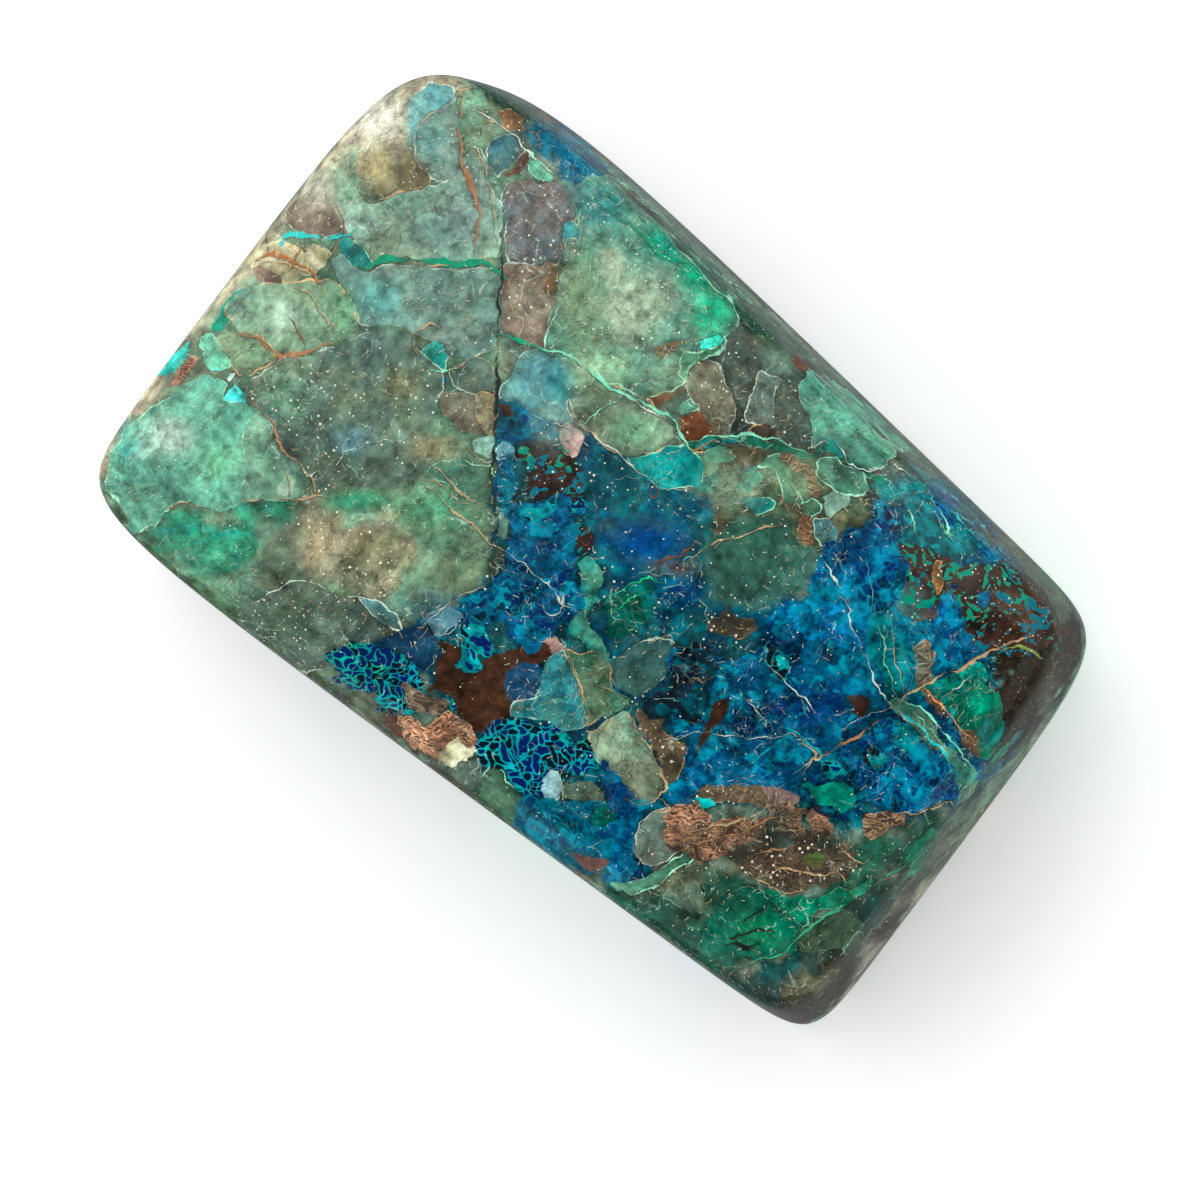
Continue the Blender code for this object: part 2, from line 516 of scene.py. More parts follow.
        1.1,
    ),
    "frill": Clast(
        "lake_glass",
        "564,224 572,218 579,224 580,238 577,252 571,262 564,262 566,250 562,238",
        1.3,
    ),
    "frill blue": Clast("slate", "565,240 576,238 577,250 571,260 565,258"),
    # Right of the great jade
    "grey block": Clast(
        "charcoal",
        "724,342 735,322 745,330 756,346 762,370 760,384 748,390 742,398 748,415 745,430 735,439"
        " 726,437 730,420 735,408 732,398 724,385 716,366 716,358",
        1.06,
    ),
    "grey step": Clast(
        "field",
        "758,350 778,352 792,352 800,362 797,378 785,378 770,374 762,366",
        0.78,
    ),
    "green bench": Clast(
        "jade",
        "760,372 772,376 786,376 776,392 772,405 770,418 776,430 766,427 754,424 745,420 748,402"
        " 756,388",
        0.72,
    ),
    "small lens": Clast("murk_chip", "747,431 756,425 768,426 776,432 772,441 762,443 752,441"),
    "dark lens": Clast(
        "charcoal",
        "780,378 790,375 798,380 797,392 803,402 809,413 813,426 812,442 808,452 798,454 788,449"
        " 778,438 771,420 774,402",
        0.85,
    ),
    "dun patch": Clast(
        "mushroom",
        "685,390 690,370 698,362 708,360 714,363 718,373 724,384 731,392 735,406 731,422 728,438"
        " 712,440 702,438 700,408 690,402",
    ),
    "dun sliver": Clast("khaki", "712,392 720,388 726,400 722,418 714,430 710,415", 1.25),
    "mint bit": Clast("mint", "680,404 692,398 703,399 700,408 690,415 680,416", 0.8),
    "rust spot": Clast("rust_dark", "796,358 806,357 808,366 803,372 797,370", 1.2),
    "jade bead": Clast("turquoise_mint", "699,346 707,338 718,336 724,342 716,349 704,352", 1.3),
    "toe net": Clast("copper_net", "655,352 668,343 680,342 678,352 664,362"),
    "toe rust": Clast(
        "rust_dark",
        "642,396 660,389 672,383 682,375 688,377 684,390 668,397 655,402",
        1.2,
    ),
    "rust patch": Clast(
        "rust_dark",
        "680,421 692,414 706,417 717,424 714,433 705,441 696,446 684,444 680,434",
    ),
    "green drop": Clast(
        "glass_jade",
        "800,380 812,373 826,377 836,386 850,392 863,402 876,413 886,422 891,434 896,449 895,457"
        " 888,463 878,468 868,472 856,470 847,460 841,449 834,440 824,443 817,446 812,450 813,426"
        " 809,413 803,402 798,390",
    ),
    "drop mint": Clast("mint", "880,420 888,426 892,438 896,450 892,458 882,452 878,436", 0.8),
    "jumble": Clast(
        "mixed",
        "705,446 725,440 755,443 785,450 812,458 835,455 862,485 875,498 872,522 850,532 838,530"
        " 820,548 802,540 790,520 760,518 735,520 722,515 718,490 722,470 690,462",
    ),
    "emerald ribbon": Clast(
        "emerald",
        "682,445 697,443 704,437 720,438 745,433 757,439 776,438 786,446 798,452 810,453 822,445"
        " 833,440 842,450 852,462 862,471 882,476 884,482 868,482 852,474 840,464 830,452 815,462"
        " 796,459 780,452 756,447 735,444 704,449 690,452",
        1.15,
    ),
    "green tongue": Clast(
        "leaf",
        "757,470 766,458 778,452 786,462 791,476 797,492 801,500 795,507 787,500 780,486 774,470"
        " 766,468",
    ),
    "green lobe": Clast(
        "leaf",
        "814,460 834,455 850,466 868,482 873,490 861,497 845,494 834,490 823,478",
        1.12,
    ),
    "copper net": Clast(
        "copper_net",
        "722,452 740,443 756,450 752,470 738,474 726,490 730,520 722,540 716,520 718,480",
    ),
    "jumble mint": Clast("mint", "706,452 722,447 736,452 730,462 716,466 706,460", 0.8),
    "jumble green": Clast("emerald", "735,472 750,466 768,474 766,484 752,490 738,484", 1.2),
    "jumble teal": Clast("teal", "742,500 760,496 776,504 770,514 752,515", 0.85),
    "jumble copper": Clast("copper_net", "786,500 800,498 806,512 800,522 790,516"),
    "copper ribbon": Clast(
        "copper",
        "780,455 796,459 810,466 816,478 822,492 818,500 808,492 812,480 804,470 790,464",
    ),
    "dark bead": Clast(
        "bottle_glass",
        "803,503 809,498 818,498 824,505 822,513 812,516 804,512",
        0.85,
    ),
    "bead foot": Clast("copper", "801,519 812,519 812,530 816,544 808,539 803,529", 0.85),
    "pale wedge": Clast(
        "frost_jade",
        "822,496 838,491 851,495 851,506 836,512 828,520 822,510",
        0.7,
    ),
    "frost wedge": Clast("slate_blue", "814,520 830,515 836,530 832,547 822,549 815,536", 1.1),
    "cyan wedge": Clast("teal", "692,481 705,475 719,472 723,482 719,493 705,493 696,489", 1.15),
    "mint slope": Clast("sage", "680,450 700,452 723,460 722,472 702,478 682,478", 0.8),
    "turquoise leaf": Clast(
        "teal",
        "870,486 881,477 889,480 896,488 906,484 919,482 930,486 925,493 915,496 905,494 895,501"
        " 885,503 877,497",
        1.25,
    ),
    "brown mark": Clast("plum", "893,470 905,474 920,475 932,481 930,487 918,484 903,481", 0.9),
    # Middle
    "sage shield": Clast(
        "sage",
        "564,360 580,364 600,375 622,386 645,396 662,412 672,428 674,440 660,447 642,454 626,458"
        " 612,448 596,432 580,424 572,410 566,388",
        0.88,
    ),
    "teal strip": Clast(
        "teal",
        "624,457 642,456 664,446 690,445 702,460 702,486 682,488 665,492 650,482 636,472",
        1.1,
    ),
    "azure nib": Clast(
        "sea",
        "497,400 520,407 546,420 562,426 548,432 524,436 508,446 497,446 495,420",
    ),
    "brown nib": Clast("brown", "497,402 506,405 513,415 508,416 500,412"),
    "spotted pocket": Clast(
        "spotted_brown",
        "515,452 528,440 545,436 556,440 576,438 584,462 588,480 584,496 575,502 570,490 560,482"
        " 560,496 550,501 530,503 524,490 526,470",
    ),
    "rose chip": Clast("rose", "556,428 568,422 580,427 585,440 583,452 575,466 566,456 556,444"),
    "pale blade": Clast("frost", "495,452 504,444 516,449 508,458 496,462", 0.5),
    "teal blade": Clast(
        "sea",
        "499,461 514,452 518,470 520,490 510,501 502,506 496,500 495,476",
        1.2,
    ),
    "pale seed": Clast("frost_jade", "496,512 505,510 513,519 512,535 504,541 497,536"),
    "mid azure": Clast(
        "azure",
        "500,512 515,502 532,503 552,501 560,496 570,500 574,516 584,498 586,512 575,522 572,545"
        " 576,562 580,582 560,588 530,582 508,575 515,560 506,545 510,530",
        0.95,
    ),
    "cyan bits": Clast("turquoise", "572,512 574,500 584,496 586,508 579,517"),
    "cyan cross": Clast(
        "turquoise",
        "516,512 530,508 545,510 548,502 554,503 553,513 540,516 528,520 518,520",
        0.85,
    ),
    "brown bit": Clast("spotted_brown", "570,530 578,521 590,533 594,541 588,552 580,558 573,550"),
    "cobalt pool": Clast(
        "cobalt",
        "486,588 505,570 530,573 560,574 576,582 584,602 576,616 562,622 548,636 530,652 516,642"
        " 500,620 482,622 470,632 452,632 440,640 400,640 380,650 395,630 440,612 466,598",
    ),
    "frost box": Clast("frost", "420,624 430,612 455,604 463,614 457,625 440,636 430,634", 0.7),
    "azure ball": Clast(
        "sky_blue",
        "553,590 562,594 564,604 560,612 551,614 543,610 541,600 545,593",
    ),
    "mint strip": Clast(
        "turquoise_mint",
        "572,562 584,558 600,568 604,580 598,590 602,600 592,602 586,614 591,626 602,642 612,662"
        " 600,670 590,656 578,640 570,628 576,610 578,592",
    ),
    "strip brown": Clast("brown", "582,586 590,578 600,572 603,580 596,588 588,594"),
    "mirror green": Clast(
        "forest_glass",
        "604,602 616,590 640,580 657,585 652,612 640,632 620,642 606,636",
        1.1,
    ),
    "slate flank": Clast(
        "slate_blue",
        "612,660 640,640 670,640 680,655 670,672 655,686 636,700 618,690 610,674",
        0.56,
    ),
    "pale edge": Clast("rose", "546,622 556,640 566,655 572,668 564,670 552,658 542,645", 0.75),
    "brown field": Clast(
        "brown",
        "436,642 458,646 478,668 492,655 512,648 540,640 552,656 540,664 520,662 506,672 504,690"
        " 510,716 492,722 482,738 468,724 455,712 446,692 428,692 438,672",
    ),
    "turquoise blotch": Clast(
        "turquoise",
        "461,627 470,620 482,628 489,641 502,653 489,656 479,651 481,666 466,671 454,666 458,652"
        " 465,646 459,636",
    ),
    "cyan sliver": Clast("turquoise", "447,689 454,692 458,705 455,714 448,712 446,700", 0.9),
    # Lower left
    "blue glass": Clast(
        "slate_navy",
        "373,642 400,629 420,622 437,640 441,655 436,665 415,669 395,663 380,652",
        0.95,
    ),
    "left comb": Clast(
        "green_net",
        "328,656 345,649 370,648 387,651 398,658 408,668 395,682 378,690 352,692 340,680",
    ),
    "blue comb": Clast("net", "380,684 398,664 415,666 428,683 419,700 409,715 390,713 372,702"),
    "wood butt": Clast("plum", "377,708 392,712 400,720 406,734 398,738 386,727"),
    "silver wood": Clast(
        "silver_grain",
        "404,684 414,691 426,698 446,697 449,704 441,713 430,719 414,709 404,700",
    ),
    "copper wood": Clast(
        "grain",
        "396,712 415,718 430,719 445,709 461,719 471,725 477,740 478,762 462,765 445,758 430,753"
        " 412,743 402,730",
    ),
    "wood end": Clast("cream", "443,757 455,746 476,746 478,762 460,767 448,763", 1.1),
    "blue wing": Clast(
        "slate_navy",
        "504,672 512,659 525,664 541,663 546,680 541,700 522,703 510,702 504,690",
    ),
    "green wing": Clast(
        "lake_glass",
        "540,664 560,651 573,659 581,686 589,702 590,726 578,733 560,731 546,721 530,719 512,719"
        " 510,702 541,698",
    ),
    "great comb": Clast(
        "net",
        "476,741 488,730 491,722 510,719 530,721 550,727 566,732 580,735 591,731 593,750 602,756"
        " 601,771 590,776 575,779 561,772 558,786 546,797 535,791 520,791 509,776 500,766 478,761",
    ),
    "comb leaf": Clast("green_net", "560,732 580,735 591,731 592,748 578,758 564,752 552,742"),
    "frost chip": Clast("frost", "541,779 550,769 560,775 563,786 558,799 551,806 544,796", 0.95),
    "slate tear": Clast(
        "charcoal",
        "562,779 576,778 591,780 601,790 604,801 586,801 570,799 560,796",
        1.05,
    ),
    "green ribbon": Clast(
        "ribbon_green",
        "564,650 580,654 592,650 606,654 613,676 613,690 633,702 621,712 600,720 588,731 588,715"
        " 580,688 571,664",
    ),
    "sage tongue": Clast(
        "tongue_green",
        "588,736 608,720 625,711 633,720 641,735 653,755 661,772 665,790 656,801 641,804 631,800"
        " 619,790 609,778 598,765 591,752",
        0.95,
    ),
    "rust wedge": Clast(
        "speckled_rust",
        "636,711 650,715 662,718 673,734 686,740 686,760 676,780 666,791 661,772 653,755 645,735",
    ),
    "blue pane": Clast(
        "navy",
        "600,756 612,771 626,785 641,803 630,813 612,809 604,796 600,784",
        1.35,
    ),
    "green skirt": Clast(
        "bottle_glass",
        "468,792 479,774 500,765 511,790 521,795 517,815 520,832 504,821 484,806",
        1.05,
    ),
    "sea pane": Clast(
        "sea",
        "516,800 531,796 548,800 560,800 600,803 592,812 590,830 608,832 612,850 610,872 590,876"
        " 560,868 530,845 517,828",
    ),
    "green bead": Clast(
        "forest_glass",
        "591,811 602,803 615,804 626,812 621,823 610,831 598,829 590,821",
        1.25,
    ),
    "azure fall": Clast(
        "azure",
        "626,809 645,800 657,800 641,812 635,826 632,850 640,865 652,880 640,890 620,887 600,884"
        " 590,874 610,870 611,850 607,832",
    ),
    "green block": Clast(
        "jade",
        "638,822 654,812 669,806 672,830 682,850 666,862 650,869 640,863 631,845 635,830",
        0.7,
    ),
    "olive foot": Clast("olive", "552,850 566,854 580,872 590,890 572,878 558,864", 0.62),
    "plum foot": Clast("plum", "562,852 590,855 611,862 601,873 580,869", 0.8),
    "mint diagonal": Clast(
        "mint",
        "598,884 620,884 642,878 656,869 672,861 690,849 698,853 681,867 665,877 650,891 628,893",
        0.78,
    ),
    "grey oval": Clast(
        "field",
        "655,887 670,871 690,858 701,866 707,884 709,906 700,921 680,917 661,903",
        0.72,
    ),
    # Great blue
    "great blue": Clast(
        "azure",
        "667,653 690,645 720,655 752,655 764,640 766,622 782,606 800,598 818,575 818,556 845,530"
        " 872,521 872,503 864,494 880,497 893,503 905,496 930,493 947,497 962,510 978,526 1005,550"
        " 1015,575 975,600 985,640 990,660 984,690 988,730 984,784 950,801 912,816 895,811 862,800"
        " 850,815 820,806 797,800 797,790 770,782 740,780 705,786 684,802 664,800 684,762 686,740"
        " 674,734",
    ),
    "ink swirl": Clast(
        "ink",
        "676,648 700,639 713,650 716,668 706,690 701,716 690,722 678,712 660,722 642,706 655,690"
        " 670,676",
    ),
    "upper cobalt": Clast(
        "cobalt",
        "850,530 872,522 876,504 900,500 905,530 898,560 900,600 880,618 860,600 848,570",
        0.95,
    ),
    "azure shelf": Clast(
        "azure",
        "766,622 782,606 800,599 822,592 838,604 852,622 858,645 850,655 822,642 800,634 786,626",
        1.1,
    ),
    "ink pool": Clast(
        "navy",
        "760,633 770,625 785,624 798,632 804,646 800,660 790,668 775,665 765,654",
        0.85,
    ),
    "turquoise splash": Clast(
        "turquoise",
        "764,645 770,655 779,662 786,665 789,678 780,677 772,668 764,665",
    ),
    "navy dot": Clast("navy", "822,648 830,644 835,651 832,660 824,661", 0.8),
    "brown strip": Clast(
        "brown",
        "724,697 729,701 723,720 713,738 700,751 691,764 695,745 706,725 715,708",
    ),
    "amber chip": Clast("speckled_rust", "733,628 745,618 758,618 757,630 745,636 735,637", 0.95),
    "umber chip": Clast("speckled_dark", "705,617 730,615 738,625 730,638 712,640 702,630", 0.9),
    "azure bright": Clast("azure", "820,622 845,620 850,635 845,645 830,640 818,635", 1.25),
    "navy top": Clast(
        "navy",
        "820,545 835,540 855,530 870,520 872,540 860,560 840,565 825,560",
        1.1,
    ),
    "brown chip a": Clast("brown", "814,660 824,662 831,675 823,683 815,672"),
    "brown chip b": Clast("brown", "848,697 860,689 873,700 871,716 862,723 851,717"),
    "navy reef": Clast(
        "navy",
        "770,690 800,682 830,690 845,705 840,722 815,725 790,715 772,708",
        1.1,
    ),
    "navy reef b": Clast("navy", "725,720 745,712 768,715 785,728 765,736 742,738 726,733", 1.1),
    "low azure": Clast(
        "azure",
        "744,785 742,770 765,748 795,736 812,746 822,756 805,770 798,786 770,782",
        1.1,
    ),
    "deep azure": Clast(
        "cobalt",
        "836,753 850,745 870,732 892,721 912,722 932,743 952,763 963,785 951,800 931,809 911,815"
        " 896,810 880,800 862,789 850,775 842,765",
        1.08,
    ),
    "teal patch": Clast("teal_dark", "893,724 911,721 922,736 916,752 901,756 893,740", 1.2),
    "cyan star": Clast("turquoise", "868,752 876,743 882,750 888,758 878,763 870,760", 0.85),
    "cyan fan": Clast("turquoise", "822,768 832,757 848,764 854,776 845,786 831,781", 0.85),
    "green reeds": Clast(
        "teal_dark",
        "868,616 886,611 896,620 901,640 906,660 906,690 898,701 885,691 875,676 870,650 864,634",
    ),
    "right lagoon": Clast(
        "teal_dark",
        "900,500 912,496 935,498 956,512 975,530 990,548 962,562 945,556 925,548 905,545 900,525",
    ),
    "brown country": Clast(
        "spotted_brown",
        "902,546 922,548 940,554 962,562 985,559 1012,560 1034,578 1062,602 1066,640 1032,658"
        " 1000,650 984,656 972,642 962,622 956,600 948,590 938,604 932,618 915,625 902,612 896,596"
        " 904,575",
    ),
    "azure pocket": Clast(
        "azure",
        "934,618 940,604 950,591 959,602 964,622 972,642 977,655 961,668 948,660 941,648",
        1.05,
    ),
    "lagoon": Clast(
        "turquoise_green",
        "906,690 925,686 945,678 960,668 978,660 990,672 986,690 975,700 955,706 935,704",
    ),
    "right emerald": Clast(
        "emerald",
        "940,704 958,688 975,676 988,682 1002,700 1001,735 999,760 985,760 976,750 966,735 951,722",
    ),
    "bundle": Clast(
        "bundle",
        "892,703 905,699 920,711 941,735 956,750 972,764 980,774 972,791 960,786 949,766 929,745"
        " 909,723",
    ),
    "copper ribbon b": Clast(
        "copper",
        "916,686 924,686 934,699 949,712 958,722 969,735 980,752 978,758 968,747 955,730 941,719"
        " 926,703",
    ),
    "copper tree": Clast(
        "copper",
        "917,646 929,640 928,654 938,650 931,667 937,678 924,690 915,686 916,668",
    ),
    "cobalt bit": Clast("cobalt", "930,495 945,505 955,515 955,528 940,525 930,512"),
    "cyan spot a": Clast("turquoise", "945,580 954,578 956,585 948,588", 1.1),
    "cyan spot b": Clast("turquoise", "966,576 976,574 976,586 968,590", 0.9),
    "cyan spot c": Clast("azure", "976,592 988,588 992,600 982,606", 1.1),
    "ochre pillar": Clast("rust", "932,566 938,558 943,574 941,598 936,603 933,586", 1.1),
    # Lower right
    "brown loaf": Clast(
        "speckled_rust",
        "690,801 705,786 740,780 764,785 771,800 766,813 745,806 720,802 700,800",
        1.05,
    ),
    "rose loaf": Clast("rose", "762,785 781,782 799,792 801,801 790,809 775,804 768,796", 0.66),
    "loaf crust": Clast("brown", "782,781 798,790 803,800 798,803 796,794"),
    "cyan foot": Clast("cyan", "684,800 697,797 712,798 716,806 702,809 688,808", 0.72),
    "ink bay": Clast(
        "navy",
        "798,800 800,784 812,776 832,781 852,784 860,800 862,815 842,822 822,812",
        0.85,
    ),
    "emerald blot": Clast(
        "emerald",
        "805,785 814,788 830,785 845,779 851,790 854,802 840,807 828,806 815,801 808,795",
        1.1,
    ),
    "long wood": Clast(
        "driftwood",
        "665,814 672,804 690,801 702,812 722,816 745,813 768,818 757,836 736,847 716,857 700,861"
        " 690,851 670,849",
    ),
    "streaky moss": Clast(
        "streaked",
        "768,806 790,800 803,806 806,816 816,831 838,838 850,848 830,852 805,848 780,838 757,838"
        " 768,820",
    ),
    "dark dust": Clast(
        "speckled_dark",
        "735,856 758,838 780,838 805,846 830,850 852,850 868,861 852,874 832,887 811,892 790,895"
        " 774,887 759,880 744,870",
    ),
    "wood chip a": Clast("driftwood", "802,816 818,806 832,819 840,835 830,842 815,831", 0.75),
    "wood chip b": Clast(
        "driftwood",
        "856,826 875,810 896,807 905,815 903,824 890,830 876,838 866,838",
        0.9,
    ),
    "green dust": Clast("moss_chip", "806,858 818,852 824,858 816,866 806,864"),
    "pale meadow": Clast(
        "meadow",
        "745,893 772,888 800,897 832,890 852,893 842,905 820,916 800,926 780,912 760,898",
        1.35,
    ),
    "bright meadow": Clast(
        "meadow",
        "698,952 705,928 716,910 732,896 752,889 768,896 777,910 792,918 802,930 798,946 785,954"
        " 770,956 750,961 730,969 714,966 704,960",
    ),
    "east meadow": Clast(
        "meadow",
        "850,892 870,876 895,860 918,842 935,826 948,830 935,845 905,866 880,884 860,896",
        1.1,
    ),
    "dark wedge": Clast(
        "charcoal_green",
        "798,930 820,918 842,908 853,913 866,926 850,941 830,951 800,952",
    ),
}


# Veins

